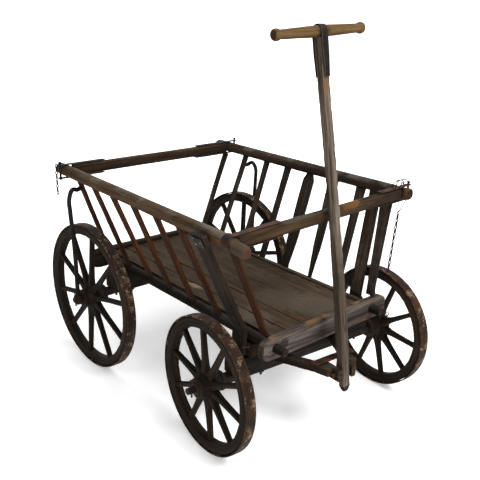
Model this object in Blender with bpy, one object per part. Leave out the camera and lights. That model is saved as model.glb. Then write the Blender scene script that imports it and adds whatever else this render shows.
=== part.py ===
"""Weathered wooden hand cart with ladder sides, four spoked wheels and a steered front axle.

Units are metres and +Z is up. X runs forward to the draw pole and Y to the cart's left.
Everything is laid out from the rear axle's centre on the ground. At the end the whole cart
moves so that the middle of its box on the ground is the origin.
"""
import math

import bmesh
import bpy
from mathutils import Matrix, Vector

GAP = 0.0003                      # between touching pieces
CUT_PAST = 0.01                   # how far a cutter reaches past what it cuts

# Wheels and axles
WHEELBASE = 0.654
DRAWN_WHEELBASE = 0.654           # the wheelbase that places along the body are given for
REAR_RADIUS = 0.250
FRONT_RADIUS = 0.203
TYRE_WIDTH = 0.034
TYRE_WALL = 0.005
FELLOE_DEPTH = 0.031
WOOD_INSET = 0.001                # felloe narrower than the tyre, each side
WHEEL_FACE_Y = 0.359              # outer face of the rims
TYRE_FACETS = 40
SPOKES = 10
# one spoke's angle in degrees, from the top towards the front
SPOKE_TURN = {("rear", "right"): 6.1, ("rear", "left"): 0.6,
              ("front", "right"): 27.8, ("front", "left"): 20.1}
# share of the way from nave to felloe, width round the wheel, thickness along the axle
SPOKE_SHAPE = ((0.0, 0.0215, 0.021), (0.22, 0.019, 0.020), (0.5, 0.0165, 0.018), (1.0, 0.0165, 0.017))
SPOKE_BITE = 0.003                # how far a spoke runs into nave and felloe
NAVE_RADIUS = 0.036
NAVE_BARREL = 0.013
NAVE_END_RADIUS = 0.026
NAVE_INNER_Y = 0.292
NAVE_OUTER_Y = 0.380
AXLE_RADIUS = 0.0095
AXLE_BORE_PLAY = 0.0007
AXLE_END_Y = 0.408
AXLE_BAR_HALF = 0.287
AXLE_BAR_HEIGHT = 0.020
AXLE_BAR_DEPTH = 0.030
AXLE_FACETS = 16

# Steering
STEER_AT_REST = math.radians(-4.75)
KINGPIN_RADIUS = 0.006
KINGPIN_PLAY = 0.0006
KINGPIN_TAIL = 0.010              # how far it shows under the axle bar
AXLE_BED_HALF = 0.268
AXLE_BED_DEPTH = 0.046
AXLE_BED_TOP = 0.262
RUB_PLATE_RADIUS = 0.055
RUB_PLATE_THICK = 0.005

# Body frame
LOW_RAIL_Y = 0.206
LOW_RAIL_Z = 0.328
LOW_RAIL_RADIUS = 0.016
LOW_RAIL_ENDS = (-0.178, 0.790)
BEAM_Y = {"rear": (-0.268, 0.268), "front": (-0.249, 0.277)}  # the cross beams' two ends
BEAM_Z = (0.289, 0.359)
BEAM_THICK = 0.030
BEAM_CORNER = 0.016
REAR_BEAM_X = -0.126
FRONT_BEAM_X = 0.739
PEG_HOLE_PLAY = 0.0006
BOLSTER_DEPTH = 0.048
REAR_BED_HALF = 0.270
BED_THICK = 0.015
BED_SEAMS = (-0.128, -0.060)      # between the low rails, from right to left
BOARD_JOINT = 0.0015
RAIL_CLEAR = 0.0025               # bed edge to low rail
PERCH_SECTION = (0.040, 0.030)

# Ladder sides: side, rear (x, y, z) and front (x, y, z) of the top rail's axis
TOP_RAIL_RADIUS = 0.0195
TOP_RAILS = {
    "right": ((-0.158, -0.349, 0.6635), (0.797, -0.358, 0.655)),
    "left": ((-0.172, 0.349, 0.6635), (0.741, 0.355, 0.665)),
}
SIDE_SIGN = {"right": -1.0, "left": 1.0}
SLAT_THICK = 0.013
# side, x at top rail, x at foot, width at top, width at foot, foot on, head under, carries
SLATS = (
    ("right", -0.038, -0.090, 0.025, 0.025, "rail", "rail", "brace"),
    ("right", 0.052, 0.034, 0.025, 0.025, "rail", "rail", ""),
    ("right", 0.160, 0.167, 0.025, 0.025, "rail", "rail", ""),
    ("right", 0.276, 0.272, 0.026, 0.026, "rail", "rail", ""),
    ("right", 0.389, 0.394, 0.025, 0.026, "rail", "rail", ""),
    ("right", 0.499, 0.515, 0.027, 0.026, "rail", "rail", ""),
    ("right", 0.725, 0.739, 0.030, 0.028, "beam", "iron", ""),
    ("left", -0.112, -0.096, 0.024, 0.022, "rail", "iron", ""),
    ("left", 0.002, 0.014, 0.024, 0.022, "rail", "rail", "brace"),
    ("left", 0.117, 0.146, 0.025, 0.024, "rail", "rail", ""),
    ("left", 0.226, 0.252, 0.028, 0.026, "rail", "rail", ""),
    ("left", 0.334, 0.367, 0.052, 0.042, "rail", "rail", ""),
    ("left", 0.440, 0.487, 0.044, 0.020, "rail", "rail", ""),
    ("left", 0.557, 0.605, 0.036, 0.026, "rail", "rail", ""),
    ("left", 0.661, 0.739, 0.046, 0.029, "beam", "rail", "chain"),
)
STAKE_WIDTH = 0.044
STAKE_THICK = 0.018
STAKE_X = {"right": (0.640, 0.632), "left": (0.668, 0.592)}  # at the foot, at the top rail
STAKE_TOP_Z = 0.664
STAKE_FOOT_Z = 0.272
STAKE_BEND_Z = 0.350

# Cross bars between the top rails, with their corner irons
BAR_SECTION = (0.024, 0.036)      # along X, along Z
REAR_BAR_X = -0.105
FRONT_BAR_X = 0.713
IRON_WIDTH = 0.020
IRON_THICK = 0.003
IRON_OUT = 0.034                  # past the rail's axis
PIN_OUT = 0.0255
PIN_RADIUS = 0.004
PIN_RISE = 0.016
PIN_TAIL = 0.004
PIN_FACETS = 8
# cross bar, side, length of the irons along the bar, what closes them outside the rail
CORNER_IRONS = (("rear", "right", 0.137, "pin"), ("rear", "left", 0.168, "pin"),
                ("front", "right", 0.178, "bend"), ("front", "left", 0.120, "pin"))

# Gooseneck braces from a slat to the rear axle's end
BRACE_RADIUS = 0.0075
BRACE_EYE_RADIUS = 0.019
BRACE_EYE_PLAY = 0.0005
BRACE_FACETS = 8
BRACE_Y = 0.393                   # middle of the eye
BRACE_BULGE_Y = 0.400
BRACE_JOIN_Z = 0.620
BRACE_STRAIGHT = 0.012            # square out from the slat
# share of the slat's x, distance inside the bulge, height below the join
BRACE_BEND = ((0.7, 0.024, 0.002), (0.3, 0.003, 0.028), (0.1, 0.0, 0.070), (0.0, 0.005, 0.190))

# Chains: links along a straight run
LINK_LENGTH = 0.015
LINK_WIDTH = 0.0095
LINK_WIRE = 0.0015
CHAIN_DROP = 0.008                # from the rail's underside to the first link
REAR_CHAIN_LINKS = 9
FRONT_CHAIN_LINKS = 17

# Draw gear, in the front axle's own frame: s forward of the kingpin, y left, z up
PIVOT_S = 0.188
PIVOT_Z = 0.226
HOUND_Z = 0.235
HOUND_SECTION = (0.028, 0.030)
HOUND_START_Y = 0.113
HOUND_END_S = 0.180
CHEEK_S = (0.140, 0.202)
CHEEK_Z = (0.208, 0.246)
CHEEK_Y = (0.0175, 0.036)
HOUND_BITE = 0.004                # how far a hound and its cheek run together
HOUND_TIE_S = (0.130, 0.156)
HOUND_TIE_HALF = 0.076
HOUND_TIE_THICK = 0.007
PIVOT_PIN_RADIUS = 0.006
PIVOT_PIN_HALF = 0.066
POLE_LEAN = math.radians(12.4)
POLE_LENGTH = 0.932               # pivot to the handle's axis
POLE_TAIL = 0.058
POLE_FOOT = (0.023, 0.031)        # depth, width
POLE_HEAD = (0.029, 0.027)
POLE_TOE = 0.018                  # length of the worn tip
POLE_TOE_SHARE = (0.55, 0.6)      # depth and width left at its end
POLE_BOW = 0.006
HANDLE_HALF = 0.157
HANDLE_RADIUS = 0.0144             # at its middle
HANDLE_SLIM = 0.80                 # share of it left beside the knobs
HANDLE_TILT = math.radians(3.3)    # the left end stands higher
KNOB_RADIUS = 0.0158
KNOB_LENGTH = 0.016
HANDLE_FACETS = 16
STRAP_WIDTH = 0.024
STRAP_THICK = 0.0025
STRAP_LENGTH = 0.115

COLOURS = {
    "grey_wood": ((0.16, 0.125, 0.095), 0.85, 0.0),
    "brown_wood": ((0.105, 0.060, 0.034), 0.8, 0.0),
    "dark_wood": ((0.038, 0.030, 0.024), 0.8, 0.0),
    "silver_wood": ((0.24, 0.215, 0.19), 0.9, 0.0),
    "handle_wood": ((0.32, 0.215, 0.11), 0.6, 0.0),
    "rusty_iron": ((0.10, 0.045, 0.026), 0.75, 0.6),
    "dark_iron": ((0.035, 0.027, 0.024), 0.7, 0.7),
}


def material(name):
    """The named finish as a Principled BSDF, made once."""
    found = bpy.data.materials.get(name)
    if found:
        return found
    colour, roughness, metallic = COLOURS[name]
    made = bpy.data.materials.new(name)
    made.use_nodes = True
    shader = made.node_tree.nodes["Principled BSDF"]
    shader.inputs["Base Color"].default_value = (*colour, 1.0)
    shader.inputs["Roughness"].default_value = roughness
    shader.inputs["Metallic"].default_value = metallic
    made.diffuse_color = (*colour, 1.0)
    return made


def add(name, bm, finish, smooth=False):
    """Turns a bmesh into an object of its own, faces pointing out."""
    bmesh.ops.recalc_face_normals(bm, faces=bm.faces)
    mesh = bpy.data.meshes.new(name)
    bm.to_mesh(mesh)
    bm.free()
    mesh.materials.append(material(finish))
    if smooth:
        mesh.shade_smooth()
        mesh.set_sharp_from_angle(angle=math.radians(35))
    made = bpy.data.objects.new(name, mesh)
    bpy.context.scene.collection.objects.link(made)
    return made


def combine(target, tools, operation):
    """Applies an exact Boolean of the target with each tool, and removes the tools."""
    for tool in tools:
        step = target.modifiers.new(operation.title(), "BOOLEAN")
        step.operation = operation
        step.solver = "EXACT"
        step.object = tool
    graph = bpy.context.evaluated_depsgraph_get()
    result = bpy.data.meshes.new_from_object(target.evaluated_get(graph), depsgraph=graph)
    target.modifiers.clear()
    target.data = result
    for tool in tools:
        bpy.data.objects.remove(tool)
    return target


def hang(piece, parent, place=(0.0, 0.0, 0.0)):
    """Puts a piece made in its parent's frame under that parent."""
    piece.parent = parent
    piece.location = place
    return piece


def pivot(name, place, turn):
    """An empty on a joint's axis."""
    made = bpy.data.objects.new(name, None)
    made.location = place
    made.rotation_euler = turn
    bpy.context.scene.collection.objects.link(made)
    return made


def loft(bm, rings):
    """Skins closed rings of equally many points and caps both ends."""
    rows = [[bm.verts.new(point) for point in ring] for ring in rings]
    for lower, upper in zip(rows, rows[1:]):
        count = len(lower)
        for i in range(count):
            j = (i + 1) % count
            bm.faces.new((lower[i], lower[j], upper[j], upper[i]))
    bm.faces.new(list(reversed(rows[0])))
    bm.faces.new(rows[-1])
    return bm


def block(x_range, y_range, z_range):
    """An upright box between two corners."""
    (x0, x1), (y0, y1), (z0, z1) = x_range, y_range, z_range
    rings = [[(x0, y0, z), (x1, y0, z), (x1, y1, z), (x0, y1, z)] for z in (z0, z1)]
    return loft(bmesh.new(), rings)


def extruded(outline, along, start, end):
    """An outline in the plane across an axis, pushed from start to end along it."""
    def lift(a, b, c):
        return {"X": (c, a, b), "Y": (a, c, b), "Z": (a, b, c)}[along]
    return loft(bmesh.new(), [[lift(a, b, c) for a, b in outline] for c in (start, end)])


def circle(radius, facets, turn=0.5):
    """Points round a circle; a turn of half a facet lays a flat at the bottom."""
    step = 2 * math.pi / facets
    return [(radius * math.cos((i + turn) * step), radius * math.sin((i + turn) * step))
            for i in range(facets)]


def rod(start, end, radius, facets, bm=None):
    """A round bar between two points."""
    start, end = Vector(start), Vector(end)
    frame = (end - start).normalized().to_track_quat("Z", "Y").to_matrix()
    rings = [[centre + frame @ Vector((a, b, 0)) for a, b in circle(radius, facets)]
             for centre in (start, end)]
    return loft(bm or bmesh.new(), rings)


def lathe(profile, facets, closed=False):
    """Turns (radius, y) points round the Y axis; a closed profile makes a ring."""
    bm = bmesh.new()
    rows = [[bm.verts.new((a, y, b)) for a, b in circle(radius, facets)] for radius, y in profile]
    pairs = list(zip(rows, rows[1:]))
    if closed:
        pairs.append((rows[-1], rows[0]))
    else:
        bm.faces.new(rows[0])
        bm.faces.new(list(reversed(rows[-1])))
    for one, two in pairs:
        for i in range(facets):
            j = (i + 1) % facets
            bm.faces.new((one[i], one[j], two[j], two[i]))
    return bm


def bar_between(start, end, depth, height, flat):
    """A rectangular bar whose depth lies along the direction flat."""
    start, end, flat = Vector(start), Vector(end), Vector(flat)
    run = (end - start).normalized()
    side = (flat - run * flat.dot(run)).normalized() * depth / 2
    rise = run.cross(side).normalized() * height / 2
    rings = [[p - side - rise, p + side - rise, p + side + rise, p - side + rise]
             for p in (start, end)]
    return loft(bmesh.new(), rings)


def across(outer_radius, facets):
    """Radius at the corners of a polygon whose flats are at outer_radius."""
    return outer_radius / math.cos(math.pi / facets)


# Wheels

def make_tyre(name, radius):
    """Iron hoop about the Y axis at the origin, a flat facet down."""
    half = TYRE_WIDTH / 2
    outer, inner = across(radius, TYRE_FACETS), across(radius - TYRE_WALL, TYRE_FACETS)
    profile = [(outer, -half), (outer, half), (inner, half), (inner, -half)]
    return add(name, lathe(profile, TYRE_FACETS, closed=True), "rusty_iron", smooth=True)


def make_wheel(name, radius, turn):
    """Felloe ring, spokes and bored nave about the Y axis, its outer side towards +Y."""
    half = TYRE_WIDTH / 2 - WOOD_INSET
    outer = across(radius - TYRE_WALL, TYRE_FACETS) - GAP
    inner = across(radius - TYRE_WALL - FELLOE_DEPTH, TYRE_FACETS)
    profile = [(outer, -half), (outer, half), (inner, half), (inner, -half)]
    felloe = add(name, lathe(profile, TYRE_FACETS, closed=True), "dark_wood", smooth=True)
    middle = WHEEL_FACE_Y - TYRE_WIDTH / 2
    inside, outside = NAVE_INNER_Y - middle, NAVE_OUTER_Y - middle
    bore = across(AXLE_RADIUS + AXLE_BORE_PLAY, AXLE_FACETS)
    nave = add("nave", lathe(
        [(bore, inside), (NAVE_END_RADIUS, inside), (NAVE_RADIUS, -NAVE_BARREL),
         (NAVE_RADIUS, NAVE_BARREL), (NAVE_END_RADIUS, outside), (bore, outside)],
        AXLE_FACETS, closed=True), "dark_wood")
    root, tip = NAVE_RADIUS - SPOKE_BITE, inner + SPOKE_BITE
    sets = [bmesh.new(), bmesh.new()]
    for i in range(SPOKES):
        rotation = Matrix.Rotation(turn + 2 * math.pi * i / SPOKES, 3, "Y")
        rings = [[rotation @ Vector((a * width / 2, b * thick / 2, root + (tip - root) * share))
                  for a, b in ((-1, -1), (1, -1), (1, 1), (-1, 1))]
                 for share, width, thick in SPOKE_SHAPE]
        loft(sets[i % 2], rings)
    spokes = [add("spokes", bm, "dark_wood") for bm in sets]
    return combine(felloe, [nave] + spokes, "UNION")


def place_wheels(front_axle):
    """One pair on the cart and one on the steered axle."""
    for size_name, radius, parent in (("rear", REAR_RADIUS, None),
                                      ("front", FRONT_RADIUS, front_axle)):
        for side, sign in SIDE_SIGN.items():
            hub = (0.0, sign * (WHEEL_FACE_Y - TYRE_WIDTH / 2), radius)
            turn = sign * math.radians(SPOKE_TURN[size_name, side])
            label = size_name + "_" + side
            for piece in (make_tyre(label + "_tyre", radius), make_wheel(label + "_wheel", radius, turn)):
                hang(piece, parent, hub)
                if sign < 0:
                    piece.rotation_euler = (0.0, 0.0, math.pi)


def axle_bar(name, radius):
    """Flat bar between the wheels with round ends that the naves turn on."""
    half_depth, half_height = AXLE_BAR_DEPTH / 2, AXLE_BAR_HEIGHT / 2
    bar = add(name, block((-half_depth, half_depth), (-AXLE_BAR_HALF, AXLE_BAR_HALF),
                          (radius - half_height, radius + half_height)), "dark_iron")
    corner = across(AXLE_RADIUS, AXLE_FACETS)
    spindle = lathe([(corner, -AXLE_END_Y), (corner, AXLE_END_Y)], AXLE_FACETS)
    bmesh.ops.translate(spindle, vec=(0, 0, radius), verts=spindle.verts)
    return combine(bar, [add("spindle", spindle, "dark_iron")], "UNION")


def drill(piece, x, radius, z_range):
    """An upright round hole through a piece."""
    cutter = add("drill", rod((x, 0, z_range[0] - CUT_PAST), (x, 0, z_range[1] + CUT_PAST),
                              across(radius, AXLE_FACETS), AXLE_FACETS), "dark_iron")
    return combine(piece, [cutter], "DIFFERENCE")


# Body

def along(x):
    """A place along the body, which keeps its share of the wheelbase."""
    return x * WHEELBASE / DRAWN_WHEELBASE


def low_rail_top():
    return LOW_RAIL_Z + LOW_RAIL_RADIUS


def stepped_bolster(name, x, half_length, bottom):
    """Cross timber: its middle carries the bed and its shoulders carry the low rails."""
    shoulder = LOW_RAIL_Z - LOW_RAIL_RADIUS - GAP
    seat = low_rail_top() - BED_THICK - GAP
    step_y = LOW_RAIL_Y - LOW_RAIL_RADIUS - RAIL_CLEAR
    outline = [(-half_length, bottom), (half_length, bottom), (half_length, shoulder),
               (step_y, shoulder), (step_y, seat), (-step_y, seat), (-step_y, shoulder),
               (-half_length, shoulder)]
    return add(name, extruded(outline, "X", x - BOLSTER_DEPTH / 2, x + BOLSTER_DEPTH / 2),
               "dark_wood")


def cross_beam(end, x, finish):
    """Upright board with clipped corners and a round hole for each low rail."""
    z0, z1 = BEAM_Z
    y0, y1 = BEAM_Y[end]
    c = BEAM_CORNER
    outline = [(y0 + c, z0), (y1 - c, z0), (y1, z0 + c), (y1, z1 - c),
               (y1 - c, z1), (y0 + c, z1), (y0, z1 - c), (y0, z0 + c)]
    half = BEAM_THICK / 2
    board = add(end + "_cross_beam", extruded(outline, "X", x - half, x + half), finish)
    hole = across(LOW_RAIL_RADIUS + PEG_HOLE_PLAY, AXLE_FACETS)
    cutters = [add("hole", rod((x - BEAM_THICK, sign * LOW_RAIL_Y, LOW_RAIL_Z),
                               (x + BEAM_THICK, sign * LOW_RAIL_Y, LOW_RAIL_Z), hole, AXLE_FACETS),
                   finish) for sign in SIDE_SIGN.values()]
    return combine(board, cutters, "DIFFERENCE")


def low_rails():
    corner = across(LOW_RAIL_RADIUS, AXLE_FACETS)
    for side, sign in SIDE_SIGN.items():
        start, end = (along(x) for x in LOW_RAIL_ENDS)
        add(side + "_low_rail", rod((start, sign * LOW_RAIL_Y, LOW_RAIL_Z),
                                    (end, sign * LOW_RAIL_Y, LOW_RAIL_Z), corner, AXLE_FACETS),
            "dark_wood", smooth=True)


def bed_boards():
    """Lengthwise boards between the two cross beams and inside the low rails."""
    edge = LOW_RAIL_Y - LOW_RAIL_RADIUS - RAIL_CLEAR
    start = along(REAR_BEAM_X) + BEAM_THICK / 2 + GAP
    end = along(FRONT_BEAM_X) - BEAM_THICK / 2 - GAP
    top = low_rail_top()
    edges = (-edge,) + BED_SEAMS + (edge,)
    for i, (right, left) in enumerate(zip(edges, edges[1:])):
        add("bed_board_%d" % (i + 1),
            block((start, end), (right + BOARD_JOINT / 2, left - BOARD_JOINT / 2),
                  (top - BED_THICK, top)), "grey_wood")


def rub_plate_bottom():
    return AXLE_BED_TOP + GAP


def body_frame():
    rear_bottom = REAR_RADIUS + AXLE_BAR_HEIGHT / 2 + GAP
    axle_bar("rear_axle", REAR_RADIUS)
    stepped_bolster("rear_axle_timber", 0.0, REAR_BED_HALF, rear_bottom)
    plate_top = rub_plate_bottom() + RUB_PLATE_THICK
    bolster = stepped_bolster("front_bolster", WHEELBASE, LOW_RAIL_Y + LOW_RAIL_RADIUS,
                              plate_top + GAP)
    drill(bolster, WHEELBASE, KINGPIN_RADIUS + KINGPIN_PLAY / 2, (plate_top, low_rail_top()))
    plate = add("rub_plate", rod((WHEELBASE, 0, rub_plate_bottom()), (WHEELBASE, 0, plate_top),
                                 RUB_PLATE_RADIUS, 24), "dark_iron", smooth=True)
    drill(plate, WHEELBASE, KINGPIN_RADIUS + KINGPIN_PLAY / 2, (rub_plate_bottom(), plate_top))
    pin_bottom = FRONT_RADIUS - AXLE_BAR_HEIGHT / 2 - KINGPIN_TAIL
    pin_top = low_rail_top() - BED_THICK - 2 * GAP
    add("kingpin", rod((WHEELBASE, 0, pin_bottom), (WHEELBASE, 0, pin_top),
                       across(KINGPIN_RADIUS, AXLE_FACETS), AXLE_FACETS), "dark_iron", smooth=True)
    width, height = PERCH_SECTION
    top = LOW_RAIL_Z - LOW_RAIL_RADIUS
    add("perch", block((BOLSTER_DEPTH / 2 + GAP, WHEELBASE - BOLSTER_DEPTH / 2 - GAP),
                       (-width / 2, width / 2), (top - height, top)), "dark_wood")
    cross_beam("rear", along(REAR_BEAM_X), "dark_wood")
    cross_beam("front", along(FRONT_BEAM_X), "silver_wood")
    low_rails()
    bed_boards()


# Ladder sides

def top_rail_ends(side):
    return [Vector((along(x), y, z)) for x, y, z in TOP_RAILS[side]]


def top_rail_point(side, x):
    """Point on a top rail's axis at a given x."""
    rear, front = top_rail_ends(side)
    return rear.lerp(front, (x - rear.x) / (front.x - rear.x))


def top_rail_run(side):
    rear, front = top_rail_ends(side)
    return (front - rear).normalized()


def low_rail_point(side, x):
    return Vector((x, SIDE_SIGN[side] * LOW_RAIL_Y, LOW_RAIL_Z))


def top_rails():
    corner = across(TOP_RAIL_RADIUS, AXLE_FACETS)
    for side in TOP_RAILS:
        add(side + "_top_rail", rod(*top_rail_ends(side), corner, AXLE_FACETS), "grey_wood",
            smooth=True)


def slat_ends(side, top_x, foot_x):
    """A slat's line, from one rail's axis to the other."""
    return top_rail_point(side, along(top_x)), low_rail_point(side, along(foot_x))


def slat_that_carries(what, side):
    """The line of the slat on that side which the table says carries a thing."""
    row = next(row for row in SLATS if row[0] == side and row[-1] == what)
    return slat_ends(side, row[1], row[2])


def slats():
    """Flat boards from the low rail up to the top rail, on the plane through both axes."""
    counts = {side: 0 for side in SIDE_SIGN}
    for side, top_x, foot_x, top_width, foot_width, seat, head, _ in SLATS:
        counts[side] += 1
        top, foot = slat_ends(side, top_x, foot_x)
        run = (top - foot).normalized()
        in_plane = Vector((0.0, run.y, run.z)).normalized()
        upper = top - run * ((across(TOP_RAIL_RADIUS, AXLE_FACETS) + GAP) / run.dot(in_plane))
        lower = foot + run * ((across(LOW_RAIL_RADIUS, AXLE_FACETS) + GAP) / run.dot(in_plane))
        lean = in_plane.cross(Vector((1, 0, 0))).normalized()
        corner = abs(lean.z) * SLAT_THICK / 2
        if seat == "beam":
            lower += run * ((BEAM_Z[1] + GAP + corner - lower.z) / run.z)
        if head == "iron":
            slope = abs(top_rail_run(side).z) * top_width / 2
            iron_low = top.z - across(TOP_RAIL_RADIUS, AXLE_FACETS) - IRON_THICK - 3 * GAP
            upper += run * ((iron_low - corner - slope - upper.z) / run.z)
        rings = []
        for centre, width, along in ((lower, foot_width, Vector((1, 0, 0))),
                                     (upper, top_width, top_rail_run(side))):
            face = along.cross(run).normalized() * SLAT_THICK / 2
            edge = along * width / 2
            rings.append([centre - edge - face, centre + edge - face,
                          centre + edge + face, centre - edge + face])
        finish = "brown_wood" if side == "right" else "dark_wood"
        add("%s_slat_%d" % (side, counts[side]), loft(bmesh.new(), rings), finish)


def stakes():
    """Side stakes: they stand at the front bolster's ends and lean out with the ladders."""
    for side, sign in SIDE_SIGN.items():
        foot_x, top_x = (along(x) for x in STAKE_X[side])
        rail = top_rail_point(side, top_x)
        foot_y = LOW_RAIL_Y + across(LOW_RAIL_RADIUS, AXLE_FACETS) + GAP
        run = Vector((0, abs(rail.y) - LOW_RAIL_Y, rail.z - LOW_RAIL_Z)).normalized()
        normal = Vector((0, run.z, -run.y))
        touch = Vector((0, abs(rail.y), rail.z)) + normal * (across(TOP_RAIL_RADIUS, AXLE_FACETS) + GAP)
        bend = Vector((0, foot_y, STAKE_BEND_Z))
        slope = (touch.y - bend.y) / (touch.z - bend.z)
        head_y = touch.y + slope * (STAKE_TOP_Z - touch.z)
        rings = []
        for z, y, x in ((STAKE_FOOT_Z, foot_y, foot_x), (STAKE_BEND_Z, foot_y, foot_x),
                        (STAKE_TOP_Z, head_y, top_x)):
            rings.append([(x - STAKE_WIDTH / 2, sign * y, z), (x + STAKE_WIDTH / 2, sign * y, z),
                          (x + STAKE_WIDTH / 2, sign * (y + STAKE_THICK), z),
                          (x - STAKE_WIDTH / 2, sign * (y + STAKE_THICK), z)])
        add(side + "_stake", loft(bmesh.new(), rings), "dark_wood")


def cross_bars():
    """Removable bars that hold the ladder sides apart, and the irons at their ends."""
    reach = across(TOP_RAIL_RADIUS, AXLE_FACETS) + GAP
    places = {"rear": along(REAR_BAR_X), "front": along(FRONT_BAR_X)}
    for end_name, x in places.items():
        right, left = top_rail_point("right", x), top_rail_point("left", x)
        run = (left - right).normalized()
        add(end_name + "_cross_bar", bar_between(right + run * reach, left - run * reach,
                                                 *BAR_SECTION, (1, 0, 0)), "grey_wood")
    for end_name, side, length, closing in CORNER_IRONS:
        x = places[end_name]
        rail = top_rail_point(side, x)
        other = top_rail_point("left" if side == "right" else "right", x)
        inward = (other - rail).normalized()
        rise = Vector((1, 0, 0)).cross(inward).normalized()
        if rise.z < 0:
            rise = -rise
        name = "%s_%s_iron" % (end_name, side)
        offset = rise * (reach + IRON_THICK / 2)
        out = IRON_OUT if closing == "pin" else reach + IRON_THICK
        plates = [add("plate", bar_between(rail + inward * length + way * offset,
                                           rail - inward * out + way * offset,
                                           IRON_WIDTH, IRON_THICK, (1, 0, 0)), "rusty_iron")
                  for way in (1.0, -1.0)]
        half = reach + IRON_THICK
        if closing == "pin":
            foot = rail - inward * PIN_OUT
            joint = rod(foot - rise * (half + PIN_TAIL), foot + rise * (half + PIN_RISE),
                        PIN_RADIUS, PIN_FACETS)
        else:
            middle = rail - inward * (reach + IRON_THICK / 2)
            joint = bar_between(middle - rise * half, middle + rise * half, IRON_WIDTH, IRON_THICK,
                                (1, 0, 0))
        combine(add(name, joint, "rusty_iron"), plates, "UNION")


def brace_path(side):
    """Points of the gooseneck: out from the slat, over the rim and down to the axle's end."""
    sign = SIDE_SIGN[side]
    top, foot = slat_that_carries("brace", side)
    join = foot.lerp(top, (BRACE_JOIN_Z - foot.z) / (top.z - foot.z))
    run = (top - foot).normalized()
    out = Vector((0.0, run.z, -abs(run.y))).normalized()
    start = Vector((join.x, abs(join.y), join.z)) + out * (SLAT_THICK / 2 + 2 * GAP)
    eye_top = REAR_RADIUS + BRACE_EYE_RADIUS
    points = [start, start + out * BRACE_STRAIGHT]
    points += [Vector((join.x * share, BRACE_BULGE_Y - inside, join.z - drop))
               for share, inside, drop in BRACE_BEND]
    points += [Vector((0.0, BRACE_Y, eye_top + BRACE_EYE_RADIUS)),
               Vector((0.0, BRACE_Y, eye_top - BRACE_RADIUS))]
    return [Vector((p.x, sign * p.y, p.z)) for p in points]


def smooth_path(points, steps):
    """Catmull-Rom curve through the points."""
    ends = [points[0] * 2 - points[1]] + points + [points[-1] * 2 - points[-2]]
    path = []
    for i in range(1, len(ends) - 2):
        a, b, c, d = ends[i - 1:i + 3]
        for k in range(steps):
            t = k / steps
            path.append(0.5 * ((2 * b) + (c - a) * t + (2 * a - 5 * b + 4 * c - d) * t * t
                               + (3 * b - 3 * c + d - a) * t ** 3))
    return path + [points[-1]]


def tube(path, radius, facets, first):
    """A round bar along a path, its sections turned with the path from the direction first."""
    rings = []
    side = Vector((1, 0, 0))
    for i, centre in enumerate(path):
        run = (path[min(i + 1, len(path) - 1)] - path[max(i - 1, 0)]).normalized()
        if i == 0:
            run = first
        side = (side - run * side.dot(run)).normalized()
        rise = run.cross(side)
        rings.append([centre + side * a + rise * b for a, b in circle(radius, facets)])
    return loft(bmesh.new(), rings)


def braces():
    half = BRACE_RADIUS
    hole = across(AXLE_RADIUS + BRACE_EYE_PLAY, AXLE_FACETS)
    for side, sign in SIDE_SIGN.items():
        points = brace_path(side)
        bm = tube(smooth_path(points, 4), BRACE_RADIUS, BRACE_FACETS,
                  (points[1] - points[0]).normalized())
        brace = add(side + "_brace", bm, "dark_iron", smooth=True)
        eye = lathe([(hole, -half), (BRACE_EYE_RADIUS, -half), (BRACE_EYE_RADIUS, half),
                     (hole, half)], AXLE_FACETS, closed=True)
        bmesh.ops.translate(eye, vec=(0, sign * BRACE_Y, REAR_RADIUS), verts=eye.verts)
        combine(brace, [add("eye", eye, "dark_iron")], "UNION")


def chain_links(start, run, links, face):
    """Two sets of links, each turned a quarter from the other, that meet when joined."""
    run, face = run.normalized(), face.normalized()
    pitch = LINK_LENGTH - 2.6 * LINK_WIRE
    sets = [bmesh.new(), bmesh.new()]
    for i in range(links):
        wide = face if i % 2 else run.cross(face)
        thin = run.cross(wide)
        centre = start + run * (LINK_LENGTH / 2 + i * pitch)
        bm = sets[i % 2]
        rows = []
        for k in range(10):
            angle = 2 * math.pi * k / 10
            out = run * math.cos(angle) + wide * math.sin(angle)
            spot = centre + run * math.cos(angle) * (LINK_LENGTH / 2 - LINK_WIRE) \
                + wide * math.sin(angle) * (LINK_WIDTH / 2 - LINK_WIRE)
            rows.append([bm.verts.new(spot + out * a + thin * b)
                         for a, b in circle(LINK_WIRE, 4)])
        for one, two in zip(rows, rows[1:] + rows[:1]):
            for j in range(4):
                m = (j + 1) % 4
                bm.faces.new((one[j], one[m], two[m], two[j]))
    return sets


def chain(name, start, run, links, face):
    odd, even = chain_links(start, run, links, face)
    return combine(add(name, odd, "dark_iron"), [add("even", even, "dark_iron")], "UNION")


def chains():
    """One hangs from the rear right pin, one lies down the front left slat."""
    rail = top_rail_point("right", along(REAR_BAR_X))
    reach = across(TOP_RAIL_RADIUS, AXLE_FACETS) + GAP + IRON_THICK
    start = Vector((rail.x, rail.y - IRON_OUT - LINK_WIDTH / 2 - GAP,
                    rail.z + reach + LINK_LENGTH / 3))
    chain("rear_chain", start, Vector((0, 0, -1)), REAR_CHAIN_LINKS, Vector((1, 0, 0)))
    top, foot = slat_that_carries("chain", "left")
    run = (foot - top).normalized()
    lift = Vector((1, 0, 0)).cross(run).normalized()
    if lift.y < 0:
        lift = -lift
    off = SLAT_THICK / 2 + LINK_WIDTH / 2 + GAP
    start = top + run * (TOP_RAIL_RADIUS + CHAIN_DROP) + lift * off
    chain("front_chain", start, run, FRONT_CHAIN_LINKS, lift)


# Front axle and draw gear

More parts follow.
